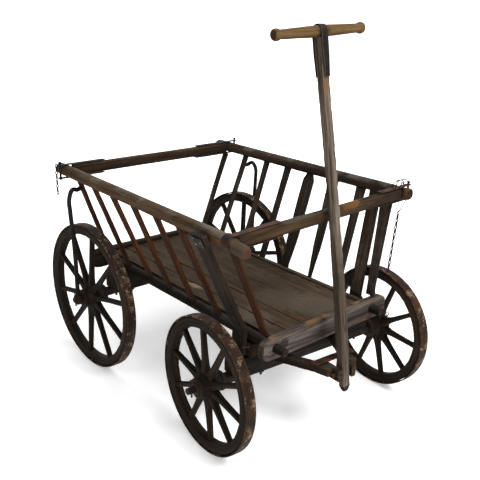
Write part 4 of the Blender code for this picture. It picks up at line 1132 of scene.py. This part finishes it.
@dataclass
class Ladder:
    """One splayed side: top rail, slats, stake and its small irons.

    Fields: rear and front, the top rail's ends in the cart's frame; rail_end, the shape of its
    front end; slats from the rear; stake_x, the stake's places along the cart at its foot, at its
    bend and at its top; stake_at, where it crosses the rail; stake_half, its half width and half
    thickness; heights, shares of the way up a slat.
    """

    layout: Layout
    side: Side
    rear: tuple[float, float, float]
    front: tuple[float, float, float]
    rail_end: tuple
    slats: tuple[Slat, ...]
    stake_x: tuple[float, float, float]
    stake_at: float
    stake_half: tuple[float, float]
    rail_wood: Wood
    slat_wood: Wood
    rail_radius: float = 0.0195
    low_y: float = 0.206
    low_z: float = 0.328
    low_radius: float = 0.016
    beam_top: float = 0.3614
    slat_deep: float = 0.0063
    heights: tuple[float, ...] = (0.0, 0.3, 0.7, 0.93, 1.0)

    def top(self, x: float | Array) -> Array:
        """The top rail's axis at a place along the cart, or at a column of places."""
        rear, front = np.array(self.rear), np.array(self.front)
        return rear + (front - rear) * (x - rear[0]) / (front[0] - rear[0])

    def foot(self, x: float) -> Array:
        """The low rail's axis at a place along the cart."""
        return np.array((x, self.side.value * self.low_y, self.low_z))

    def build(self) -> None:
        """Makes the whole side."""
        x, size, drop = np.concatenate([np.array(REAR_RAIL_END) + (self.rear[0], 0, 0), self.rail_end]).T
        rail = Timber(self.layout.cart(self.top(x[:, None]) - spots(0.0, 0.0, drop)), spots(0.0, size, 0.0),
                      spots(0.0, 0.0, size), edge=2.4, rough=0.0009, hollow=0.0016, sway=0.0010, step=0.006,
                      around=36, seed=61 + self.side.value)
        worn(f"{self.side.word}_top_rail", rail.skin(), self.rail_wood)
        for k, slat in enumerate(self.slats):
            self.board(k + 1, slat)
        self.stake()

    def board(self, number: int, slat: Slat) -> None:
        """One slat between the rails, numbered from the rear, its ends drawn to their undersides."""
        top, foot = self.top(slat.top_x), self.foot(slat.foot_x)
        run = unit(top - foot)
        start = foot + run * (self.low_radius - 0.001)
        end = top - run * (self.rail_radius - 0.002)
        if slat.on_beam:
            start = foot + run * ((self.beam_top - foot[2]) / run[2])
        if slat.under_iron:
            end = top - run * ((self.rail_radius + 0.0052) / run[2])
        share = np.array((0.0, 0.04, 0.3, 0.7, 0.93, 1.0))[:, None]
        width = np.interp(share, (0, 1), (slat.foot_width, slat.top_width)) / 2
        width = width * np.interp(share, self.heights, slat.taper)
        # painted shade darkens both ends of the slat, where it meets the rails
        board = Timber(self.layout.cart(start + (end - start) * share), width * AHEAD,
                       self.slat_deep * unit(np.cross(AHEAD, run)), edge=5.0, rough=0.0005, hollow=0.0009,
                       chips=0.0035 if slat.top_width > 0.04 else 0.0012, sway=0.0012, step=0.007, around=24,
                       end_shade=0.8, seed=70 + number * 3 + self.side.value)
        worn(f"{self.side.word}_slat_{number}", board.skin(), self.slat_wood)

    def stake(self) -> None:
        """The leaning stake outside the rails, with a capped top and nails.

        It stands upright to its bend. From there it leans so that it touches the rail's outside.
        """
        word, sign = self.side.word, self.side.value
        half, deep = self.stake_half
        rail, clear = self.top(self.stake_at), self.rail_radius + 0.0007
        run = unit(np.array((abs(rail[1]) - self.low_y, rail[2] - self.low_z)))
        touch_y, touch_z = abs(rail[1]) + run[1] * clear, rail[2] - run[0] * clear
        foot_y, foot_z, bend_z, top_z = self.low_y + 0.0166, 0.2722, 0.350, 0.664
        slope = (touch_y - foot_y) / (touch_z - bend_z)
        head_y = touch_y + slope * (top_z - touch_z)
        y = sign * (np.array((foot_y, foot_y, head_y)) + deep + 0.0002)
        path = spots(self.stake_x, y, (foot_z, bend_z, top_z - 0.0002))
        stake = Timber(self.layout.cart(path), (half, 0, 0), (0, deep, 0), edge=5.5, rough=0.0007,
                       hollow=0.0014, chips=0.004, around=36, step=0.007, seed=91 + sign)
        worn(word + "_stake", stake.skin(), STAKE_WOOD)
        head = self.layout.cart((self.stake_x[2], y[2], top_z))
        out, down = unit(np.array((0.0, sign, -slope))), unit(np.array((0.0, -sign * slope, -1.0)))
        face = head + out * (deep + 0.0004)
        plate = beam(face + down * 0.002, face + down * 0.034, (half * 0.86, 0, 0), out * 0.0012, edge=7.0,
                     rough=0.0002, hollow=0.0003, chips=0.003, around=28, step=0.004, seed=95 + sign)
        put(word + "_stake_plate", plate.skin(), DARK_IRON, "cart")
        nails = [stud(face + out * 0.0010 + down * drop + (shift, 0, 0), out, 0.0034)
                 for shift, drop in ((-0.011, 0.007), (-0.010, 0.027), (0.012, 0.016))]
        put(word + "_stake_nails", nails, NAIL_IRON, "cart")


@dataclass
class CrossBars:
    """The bars between the top rails and the irons at their corners.

    Fields: reach, from a rail's axis to what touches it; sag, how far the front bar's right end
    hangs below the rail's axis; section, a bar's half sizes; irons, each its bar, its side, its
    length along the bar and whether a pin closes it.
    """

    layout: Layout
    right: Ladder
    left: Ladder
    rear_x: float = -0.105
    front_x: float = 0.713
    reach: float = 0.0202
    sag: float = 0.007
    section: tuple[float, float] = (0.0119, 0.0184)
    irons: tuple = (("rear", Side.RIGHT, 0.137, True), ("rear", Side.LEFT, 0.168, True),
                    ("front", Side.RIGHT, 0.178, False), ("front", Side.LEFT, 0.120, True))

    def ends(self, end: str, side: Side) -> tuple[Array, Array, Array]:
        """A corner's rail point, the way inward along the bar, and the way up from it."""
        x = self.rear_x if end == "rear" else self.front_x
        own, other = (self.right, self.left) if side is Side.RIGHT else (self.left, self.right)
        inward = unit(other.top(x) - own.top(x))
        rise = unit(np.cross(AHEAD, inward))
        return self.layout.cart(own.top(x)), inward, rise * np.sign(rise[2])

    def build(self) -> None:
        """Makes both bars and the four corner irons."""
        wide, deep = self.section
        for end, x, sag, seed in (("rear", self.rear_x, 0.0, 101), ("front", self.front_x, self.sag, 103)):
            right, left = self.right.top(x) - (0.0, 0.0, sag), self.left.top(x)
            run = unit(left - right)
            reach = np.array((self.reach, self.reach + 0.02, np.linalg.norm(left - right) - self.reach))
            # painted shade darkens both ends of the bar, where it meets the rails
            bar = Timber(self.layout.cart(right + run * reach[:, None]), (wide, 0, 0), np.cross(AHEAD, run) * deep,
                         edge=4.5, rough=0.0007, step=0.007, end_shade=0.6, seed=seed, **HEWN)
            worn(end + "_cross_bar", bar.skin(), BAR_WOOD)
        for end, side, length, pinned in self.irons:
            shape = self.pinned if pinned else self.wrapped
            rail, inward, rise = self.ends(end, side)
            skins, rivets = shape(rail, inward, rise, length, side.value)
            label = f"{end}_{side.word}_iron"
            worn(label, skins, DARK_IRON if end == "rear" else RUSTY_IRON)
            put(label + "_rivets", [stud(place, rise, 0.0040) for place in rivets],
                NAIL_IRON if end == "rear" else RUSTY_IRON, "cart")

    @staticmethod
    def plate(start: Array, end: Array, rise: Array, seed: float) -> Skin:
        """A flat strip of iron, a little ragged at its edges."""
        return beam(start, end, (0.0099, 0, 0), rise * 0.0014, chips=0.0012, around=24, seed=seed, **SHEET).skin()

    def pinned(self, rail: Array, inward: Array, rise: Array, length: float, sign: float) -> tuple[list, list]:
        """Two plates over and under the rail with a headed pin through them outside it.

        Args:
            rail: the corner's rail point.
            inward: the way along the bar.
            rise: the way up from the bar.
            length: of the plates along the bar.
            sign: the side's sign of Y.

        Returns:
            The iron's skins and the places of its rivets.
        """
        level = self.reach + 0.0015
        skins = [self.plate(rail + inward * length + way * rise * level,
                            rail - inward * 0.0325 + way * rise * level, rise, sign * 7 + way)
                 for way in (1.0, -1.0)]
        foot = rail - inward * 0.0255
        skins += [tube([foot - rise * (level + 0.005), foot, foot + rise * (level + 0.007)], 0.0038, 12),
                  turned(PIN_HEAD, foot + rise * (level + 0.0065), rise, 20, 0.0004, sign)]
        return skins, [rail + inward * share * length + rise * (level + 0.0012) for share in (0.42, 0.88)]

    def wrapped(self, rail: Array, inward: Array, rise: Array, length: float, sign: float) -> tuple[list, list]:
        """A wide band round the rail, with a strip over and a strip under the bar; taken as pinned is."""
        angle = np.radians(np.linspace(25, 330, 34))[:, None]
        way = np.cos(angle) * inward + np.sin(angle) * rise
        ring = Timber(rail + (0.013, 0, 0) + way * (self.reach + 0.0012), (0.0150, 0, 0), way * 0.0013, edge=6.0,
                      rough=0.0003, hollow=0.0006, chips=0.002, around=28, step=0.004, seed=5)
        over = [rail + inward * s + rise * h for s, h in ((0.018, 0.0125), (0.032, 0.0132), (length, 0.0158))]
        under = [rail + inward * s + rise * h for s, h in ((0.013, -0.0270), (length * 0.9, -0.0258))]
        skins = [ring.skin(), self.plate(over[0], over[1], rise, 2), self.plate(over[1], over[2], rise, 3),
                 self.plate(under[0], under[1], rise, 4)]
        return skins, [over[1] + (over[2] - over[1]) * share + rise * 0.0012 for share in (0.35, 0.92)]


def stud(centre: Array, axis: Array, radius: float) -> Skin:
    """A domed nail or rivet head: its radius falls as a quarter circle."""
    angle = np.linspace(0, 0.48 * np.pi, 6)
    shape = [(radius * 0.9, -0.0016)] + [(radius * math.cos(t), 0.45 * radius * math.sin(t)) for t in angle]
    return turned(shape, centre, axis, 14, 0.0002, float(centre[0] * 50))


@dataclass
class Brace:
    """The gooseneck iron from a slat, out over the wheel's rim, to an eye round the axle's end.

    Fields: slat, its number from 0; radius of the bar; join_z, its height on the slat; bulge_y, how
    far out it stands; the eye's place, outer radius, bore and half thickness.
    """

    layout: Layout
    ladder: Ladder
    slat: int
    radius: float = 0.0074
    join_z: float = 0.620
    bulge_y: float = 0.400
    eye_y: float = 0.393
    axle_z: float = 0.250
    eye_radius: float = 0.019
    eye_bore: float = 0.0105
    eye_half: float = 0.0074

    def build(self) -> None:
        """Carries the bar along its curve and turns the eye."""
        slat, sign = self.ladder.slats[self.slat], self.ladder.side.value
        top, foot = self.ladder.top(slat.top_x), self.ladder.foot(slat.foot_x)
        join = foot + (top - foot) * (self.join_z - foot[2]) / (top[2] - foot[2])
        run = unit(top - foot)
        out = unit(np.array((0.0, run[2], -abs(run[1]))))
        start = np.array((join[0], abs(join[1]), join[2])) + out * 0.0071
        bend = [(join[0] * share, self.bulge_y - inside, join[2] - drop) for share, inside, drop in BRACE_BEND]
        eye_top = self.axle_z + self.eye_radius
        foot_keys = [(0, self.eye_y, eye_top + 0.019), (0, self.eye_y, eye_top - 0.006)]
        path = curve_through([start, start + out * 0.012] + bend + foot_keys) * (1.0, sign, 1.0)
        h = self.eye_half
        eye = [(self.eye_bore, -h), (0.0175, -h), (0.0188, -h * 0.6), (0.0188, h * 0.6), (0.0175, h),
               (self.eye_bore, h)]
        hub = self.layout.cart((0, sign * self.eye_y, self.axle_z))
        worn(self.ladder.side.word + "_brace", [tube(self.layout.cart(path), self.radius, 14, seed=3.0),
                                                turned(eye, hub, (0, 1, 0), 32, 0.0005, 4.0)], DARK_IRON)


@dataclass
class Chain:
    """A run of welded links, each turned a quarter from the last.

    Fields: node, what it stands for; start, run and face, its first end, its way and the way that
    every second link is wide in; wire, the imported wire's radius; swell, what the rust adds to it.
    """

    node: str
    start: Array
    run: Array
    face: Array
    links: int
    length: float = 0.015
    width: float = 0.0095
    wire: float = 0.0015
    swell: float = 0.0003

    def build(self) -> None:
        """Each link is a ring: half-axes round its middle, the wire's circle round that."""
        run, face = unit(self.run), unit(self.face)
        pitch = self.length - 2.6 * self.wire
        angle = np.linspace(0, 2 * np.pi, 22, endpoint=False)[:, None]
        skins = []
        for k in range(self.links):
            wide = face if k % 2 else np.cross(run, face)
            centre = self.start + run * (self.length / 2 + k * pitch)
            ring = (centre + run * np.cos(angle) * (self.length / 2 - self.wire)
                    + wide * np.sin(angle) * (self.width / 2 - self.wire))
            skins.append(tube(ring, self.wire + self.swell, 8, loop=True, rough=0.0001))
        worn(self.node, skins, DARK_IRON)


@dataclass
class DrawGear:
    """Hounds, tie, pole, cross handle and its strap.

    Fields: length and tail, the pole above and below its pin; bow, how far it stands forward at its
    middle; swell, what its lower half is deeper by on each face; foot and head, its depth and width;
    tilt, the handle's; strap_wide, half its width at its feet and above; arm, the hounds' path as
    forward and sideways; arm_half, cheek_half and tie_half, half sizes.
    """

    layout: Layout
    length: float = 0.932
    tail: float = 0.058
    bow: float = 0.006
    swell: float = 0.005
    foot: tuple[float, float] = (0.023, 0.031)
    head: tuple[float, float] = (0.029, 0.027)
    handle_half: float = 0.157
    handle_radius: float = 0.0158
    tilt: float = math.radians(3.3)
    strap_length: float = 0.115
    strap_inner: float = 0.0166
    strap_thick: float = 0.0025
    strap_wide: tuple[float, float] = (0.0085, 0.0118)
    arm: tuple = ((0.0233, 0.113), (0.140, 0.0555), (0.180, 0.046))
    arm_z: float = 0.235
    arm_half: tuple[float, float] = (0.0136, 0.0148)
    cheek_x: tuple[float, float] = (0.1402, 0.2018)
    cheek_y: float = 0.0268
    cheek_half: tuple[float, float] = (0.0091, 0.0189)
    tie_half: tuple[float, float, float] = (0.0129, 0.0758, 0.0034)

    def build(self) -> None:
        """Makes every piece in front of the axle."""
        self.hounds()
        self.pole()
        self.handle()
        self.strap()

    def hounds(self) -> None:
        """A tapering pair of timbers with cheeks for the pole, tied by an iron strip."""
        lay = self.layout
        x, y = np.array(self.arm).T
        for side in Side:
            sign = side.value
            arm = Timber(lay.truck(spots(x, sign * y, self.arm_z)), lay.turn((0, self.arm_half[0], 0)),
                         (0, 0, self.arm_half[1]), edge=6.0, step=0.006, seed=111 + sign, **HEWN)
            start, stop = (lay.truck((s, sign * self.cheek_y, lay.pivot_z + 0.001)) for s in self.cheek_x)
            cheek = beam(start, stop, lay.turn((0, self.cheek_half[0], 0)), (0, 0, self.cheek_half[1]), edge=6.0,
                         chips=0.003, step=0.005, seed=113 + sign)
            worn(f"{side.word}_hound", [arm.skin(), cheek.skin()], FRAME_WOOD, "steered_axle")
        deep, half, thick = self.tie_half
        ends = (lay.truck((0.143, way * half, 0.2538)) for way in (-1.0, 1.0))
        tie = beam(*ends, lay.turn((deep, 0, 0)), (0, 0, thick), edge=5.0, chips=0.002, around=28, step=0.005,
                   seed=115)
        worn("hound_tie", tie.skin(), RUSTY_IRON, "steered_axle")

    def pole(self) -> None:
        """The bowed pole: its middle stands forward by 4t(1 - t) of the bow up to the strap's foot."""
        lay = self.layout
        straight = self.length - self.strap_length
        tip = -self.tail + np.array((0.0, 0.006, 0.018))
        z = np.concatenate([tip, np.linspace(-0.02, straight, 16), (self.length - 0.0160,)])
        t = np.clip(z / straight, 0, 1)
        worn_off = 0.99 * np.interp(z, tip, (0.5, 0.75, 1.0))
        deep, wide = ((foot + (head - foot) * t) / 2 * worn_off for foot, head in zip(self.foot, self.head))
        deep = deep + self.swell * np.clip(z / 0.05, 0, 1) * np.clip(1 - t / 0.55, 0, 1)
        pole = Timber(lay.pole(spots(self.bow * 4 * t * (1 - t), 0.0, z)), lay.tip(spots(deep, 0.0, 0.0)),
                      lay.tip(spots(0.0, wide, 0.0)), edge=6.0, rough=0.0012, hollow=0.0016, chips=0.005,
                      around=36, step=0.006, seed=121)
        worn("draw_pole", pole.skin(), POLE_WOOD, "pole")

    def handle(self) -> None:
        """The turned cross handle: slim between its middle and a knob on each end."""
        lay, r, h = self.layout, self.handle_radius, self.handle_half
        slim = ((1.0, 0.0), (1.0, 0.012), (0.95, 0.04), (0.87, 0.08), (0.80, h - 0.030), (0.77, h - 0.023),
                (0.80, h - 0.0195))
        knob = ((0.0146, h - 0.0158), (0.0157, h - 0.011), (0.0156, h - 0.006), (0.0146, h - 0.002), (0.0128, h))
        radius, along = np.array([(r * share, y) for share, y in slim] + list(knob)).T
        along, radius = np.concatenate([-along[:0:-1], along]), np.concatenate([radius[:0:-1], radius])
        marks = np.union1d(np.linspace(-h, h, 60), along)
        shape = np.stack([np.interp(marks, along, radius), marks], axis=1)
        centre, axis = lay.pole((0, 0, self.length)), lay.tip((0, math.cos(self.tilt), math.sin(self.tilt)))
        worn("handle", turned(shape, centre, axis, 36, 0.0005, 7.0), HANDLE_WOOD, "pole")

    def strap(self) -> None:
        """The strap: two legs down the pole and a half circle over the handle, with its rivets."""
        lay, middle = self.layout, self.strap_inner + self.strap_thick / 2
        angle = np.linspace(0, np.pi, 17)
        low = self.length - self.strap_length
        leg = np.array((low, low + 0.06))
        cos, sin = (np.concatenate([(ends, ends), turn, (-ends, -ends)] if ends else [(0, 0), turn, (0, 0)])
                    for ends, turn in ((1.0, np.cos(angle)), (0.0, np.sin(angle))))
        z = np.concatenate([leg, self.length + middle * np.sin(angle), leg[::-1]])
        foot, above = self.strap_wide
        width = np.concatenate([(foot, above), np.full(len(angle), above), (above, foot)])
        strap = Timber(lay.pole(spots(middle * cos, 0.0, z)), lay.tip(spots(0.0, width, 0.0)),
                       lay.tip(spots(cos, 0.0, sin) * (self.strap_thick / 2)), edge=6.0, rough=0.0002,
                       hollow=0.0004, chips=0.001, around=24, step=0.004, seed=125)
        worn("handle_strap", strap.skin(), DARK_IRON, "pole")
        rivets = [stud(lay.pole((self.strap_inner + self.strap_thick, 0, self.length - d)), lay.tip((1, 0, 0)),
                       0.0042) for d in (0.035, 0.095)]
        put("handle_strap_rivets", rivets, DARK_IRON, "pole")


@dataclass
class Studio:
    """Pale floor, soft light and the camera at the photograph's viewing angle.

    Fields: the camera's place in the cart's frame, its turn, height angle and roll in degrees, its
    focal length in pixels of a 480 pixel frame, and its centre in those pixels; half, near, bend and
    curve, the floor's half width, front edge, where it starts to rise and the radius of that rise;
    air, how bright the white air is for light; lamps, each its name, place, size and power.
    """

    layout: Layout
    place: tuple[float, float, float] = (1.8786, -1.3696, 1.2107)
    turn: float = 48.0616
    height: float = 21.3327
    roll: float = 1.9621
    focal: float = 672.919
    centre: tuple[float, float] = (237.1994, 260.2575)
    frame: float = 480.0
    sensor: float = 36.0
    half: float = 14.0
    near: float = -9.0
    bend: float = 5.0
    curve: float = 4.0
    air: float = 0.09
    aim: tuple[float, float, float] = (0.0, 0.0, 0.4)
    lamps: tuple = (("key", (2.6, 0.1, 3.0), 1.6, 130.0), ("fill", (0.9, -3.0, 2.8), 2.0, 34.0),
                    ("top", (-0.4, 0.3, 4.0), 3.0, 80.0))

    def build(self) -> None:
        """Sets floor, world, lights and camera."""
        self.floor()
        self.lights()
        self.camera()
        view = bpy.context.scene.view_settings
        view.view_transform = "Standard"
        view.look = "None"

    def floor(self) -> None:
        """A plain sheet that curves up far behind: z = 0 on the floor, then a quarter circle. It glows, painted
        light that lifts the shadows under the cart and turns the sheet white further off.
        """
        angle = np.linspace(0.1, np.pi / 2, 12)
        end = self.bend + self.curve
        depth = np.concatenate([(self.near, self.bend), self.bend + self.curve * np.sin(angle), (end,)])
        rise = np.concatenate([(0.0, 0.0), self.curve - self.curve * np.cos(angle), (end,)])
        s, c = math.sin(math.radians(self.turn)), math.cos(math.radians(self.turn))
        side = np.linspace(-self.half, self.half, 3)
        points = (side[None, :, None] * np.array((c, s, 0)) + depth[:, None, None] * np.array((-s, c, 0))
                  + rise[:, None, None] * np.array((0, 0, 1)))
        row, column = np.meshgrid(np.arange(len(depth) - 1), np.arange(2), indexing="ij")
        first = (row * 3 + column).ravel()
        faces = np.stack([first, first + 1, first + 4, first + 3], axis=1)
        mesh = bpy.data.meshes.new("floor")
        mesh.from_pydata(points.reshape(-1, 3).tolist(), [], faces.tolist())
        mesh.shade_smooth()
        brew = Brew("studio_paper")
        place = brew.place()
        shade = brew.noise(place, 2.0, 3.0)
        colour = brew.ramp(shade, [(0.3, (0.90, 0.90, 0.90)), (0.7, (0.93, 0.93, 0.93))])
        brew.feed(brew.shader.inputs["Emission Color"], (1.0, 1.0, 1.0))
        # painted light: the floor glows a little everywhere, lifting its shadows, and up to full white further off
        painted_floor_light = brew.add(brew.band(brew.vectors("LENGTH", place), 0.7, 3.2, 0.9), 0.36)
        brew.feed(brew.shader.inputs["Emission Strength"], painted_floor_light)
        rough = brew.band(shade, 0.0, 1.0)
        mesh.materials.append(brew.finished(colour, rough, shade, 0.02, 0.0005, shine=0.1))
        floor = bpy.data.objects.new("floor", mesh)
        bpy.context.scene.collection.objects.link(floor)

    def lights(self) -> None:
        """A soft key from the front and above, weak fills, and air that is white only to the camera."""
        world = bpy.data.worlds.new("studio_air")
        world.use_nodes = True
        tree = world.node_tree
        back = tree.nodes["Background"]
        back.inputs["Color"].default_value = (1.0, 1.0, 1.0, 1.0)
        seen = tree.nodes.new("ShaderNodeLightPath").outputs["Is Camera Ray"]
        level = tree.nodes.new("ShaderNodeMapRange")
        level.inputs["To Min"].default_value, level.inputs["To Max"].default_value = self.air, 1.0
        tree.links.new(seen, level.inputs["Value"])
        tree.links.new(level.outputs["Result"], back.inputs["Strength"])
        bpy.context.scene.world = world
        for name, place, size, power in self.lamps:
            lamp = bpy.data.lights.new(name, "AREA")
            lamp.shape = "DISK"
            lamp.size, lamp.energy = size, power
            made = bpy.data.objects.new(name, lamp)
            made.location = place
            x, y, z = np.subtract(self.aim, place)
            made.rotation_euler = (math.atan2(math.hypot(x, y), -z), 0.0, math.atan2(-x, y))
            bpy.context.scene.collection.objects.link(made)

    def camera(self) -> None:
        """The photograph's camera, its axes worked out from turn, height angle and roll."""
        a, e, r = (math.radians(v) for v in (self.turn, self.height, self.roll))
        back = np.array((math.sin(a) * math.cos(e), -math.cos(a) * math.cos(e), math.sin(e)))
        right = np.array((math.cos(a), math.sin(a), 0.0))
        up = np.cross(back, right)
        right, up = math.cos(r) * right + math.sin(r) * up, math.cos(r) * up - math.sin(r) * right
        lens = bpy.data.cameras.new("camera")
        lens.sensor_width = self.sensor
        lens.lens = self.focal / self.frame * self.sensor
        lens.shift_x = (self.frame / 2 - self.centre[0]) / self.frame
        lens.shift_y = (self.centre[1] - self.frame / 2) / self.frame
        lens.dof.use_dof = False
        made = bpy.data.objects.new("camera", lens)
        axes = np.stack([right, up, back, self.layout.cart(self.place)], axis=1)
        made.matrix_world = Matrix([*axes.tolist(), (0, 0, 0, 1)])
        bpy.context.scene.collection.objects.link(made)
        bpy.context.scene.camera = made


RIGHT_SLATS = (
    Slat(-0.038, -0.090, 0.025, 0.025), Slat(0.052, 0.034, 0.025, 0.025), Slat(0.160, 0.167, 0.025, 0.025),
    Slat(0.276, 0.272, 0.026, 0.026), Slat(0.389, 0.394, 0.025, 0.026), Slat(0.499, 0.515, 0.027, 0.026),
    Slat(0.725, 0.726, 0.030, 0.028, True, True, (1.0, 0.95, 0.94, 1.0, 1.0)))
LEFT_SLATS = (
    Slat(-0.112, -0.096, 0.024, 0.022, False, True), Slat(0.002, 0.014, 0.024, 0.022),
    Slat(0.117, 0.146, 0.025, 0.024), Slat(0.226, 0.252, 0.028, 0.026),
    Slat(0.334, 0.367, 0.052, 0.042, taper=(0.7, 1.0, 1.0, 0.95, 0.5)),
    Slat(0.440, 0.487, 0.044, 0.020, taper=(0.6, 1.1, 1.05, 1.0, 0.95)), Slat(0.557, 0.605, 0.036, 0.026),
    Slat(0.661, 0.739, 0.046, 0.029, True))


@dataclass
class HandCart:
    """The whole cart: its sub-assemblies in the order in which they are built."""

    layout: Layout

    def build(self) -> None:
        """Builds and dresses everything."""
        lay = self.layout
        for axle, side, radius, turn, reach in (
                (Axle.REAR, Side.RIGHT, 0.250, 6.1, 0.0612), (Axle.REAR, Side.LEFT, 0.250, 0.6, 0.0612),
                (Axle.FRONT, Side.RIGHT, 0.203, 27.8, 0.0520), (Axle.FRONT, Side.LEFT, 0.203, 20.1, 0.0520)):
            Wheel(lay, axle, side, radius, turn, reach).build()
        Undercarriage(lay).build()
        Bed(lay).build()
        right = Ladder(lay, Side.RIGHT, (-0.158, -0.349, 0.6635), (0.797, -0.358, 0.655), NEAR_RAIL_END,
                       RIGHT_SLATS, (0.634, 0.636, 0.646), 0.632, (0.0250, 0.0112), RAIL_WOOD, SLAT_WOOD)
        left = Ladder(lay, Side.LEFT, (-0.172, 0.349, 0.6635), (0.741, 0.355, 0.665), FAR_RAIL_END,
                      LEFT_SLATS, (0.668, 0.668, 0.592), 0.592, (0.0218, 0.0089), FAR_RAIL_WOOD, DARK_SLAT_WOOD)
        bars = CrossBars(lay, right, left)
        for part in (right, left, bars, Brace(lay, right, 0), Brace(lay, left, 1)):
            part.build()
        self.chains(bars)
        self.wires(bars)
        DrawGear(lay).build()

    def wires(self, bars: CrossBars) -> None:
        """Wire twisted round the far front corner, and a scrap at the near stake's foot whose pale iron is a painted
        glint.
        """
        rail = self.layout.cart(bars.left.top(bars.front_x))
        for name, paths, origin, radius, finish in (
                ("front_left_wire", CORNER_WIRES, rail, 0.0017, DARK_IRON),
                ("front_chain_hanger", CHAIN_HANGER, rail, 0.0014, NAIL_IRON),
                # painted highlight: the scrap at the stake's foot is pale iron to stand for a glint
                ("near_stake_wire", (STAKE_WIRE,), self.layout.origin, 0.0012, NAIL_IRON)):
            skins = [tube(curve_through(origin + np.array(path)), radius, 8) for path in paths]
            put(name, skins, finish, "cart")

    def chains(self, bars: CrossBars) -> None:
        """One chain hangs from the near rear corner, one lies down the far front slat."""
        rail = self.layout.cart(bars.right.top(bars.rear_x))
        start = rail + (0.0, -0.039050, bars.reach + 0.008)
        Chain("rear_chain", start, np.array((0, 0, -1.0)), AHEAD, 9).build()
        slat = bars.left.slats[-1]
        top, foot = bars.left.top(slat.top_x), bars.left.foot(slat.foot_x)
        run = unit(foot - top)
        lift = unit(np.cross(AHEAD, run))
        lift = lift * np.sign(lift[1])
        start = self.layout.cart(top + run * 0.058 + lift * 0.0116 + (0.042, 0, 0))
        Chain("front_chain", start, run, lift, 17).build()


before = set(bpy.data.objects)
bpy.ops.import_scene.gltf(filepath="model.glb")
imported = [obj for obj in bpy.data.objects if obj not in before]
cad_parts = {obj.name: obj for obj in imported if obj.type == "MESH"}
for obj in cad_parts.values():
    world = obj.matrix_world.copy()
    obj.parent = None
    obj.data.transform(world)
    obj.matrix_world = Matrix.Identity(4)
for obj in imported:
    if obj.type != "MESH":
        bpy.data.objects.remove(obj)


def main() -> None:
    """Builds the cart and its studio."""
    logging.basicConfig(level=logging.INFO, format="%(message)s")
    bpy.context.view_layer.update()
    low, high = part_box("rear_axle")
    layout = Layout(np.array(((low.x + high.x) / 2, (low.y + high.y) / 2, 0.0)))
    HandCart(layout).build()
    Studio(layout).build()


if __name__ == "__main__":
    main()
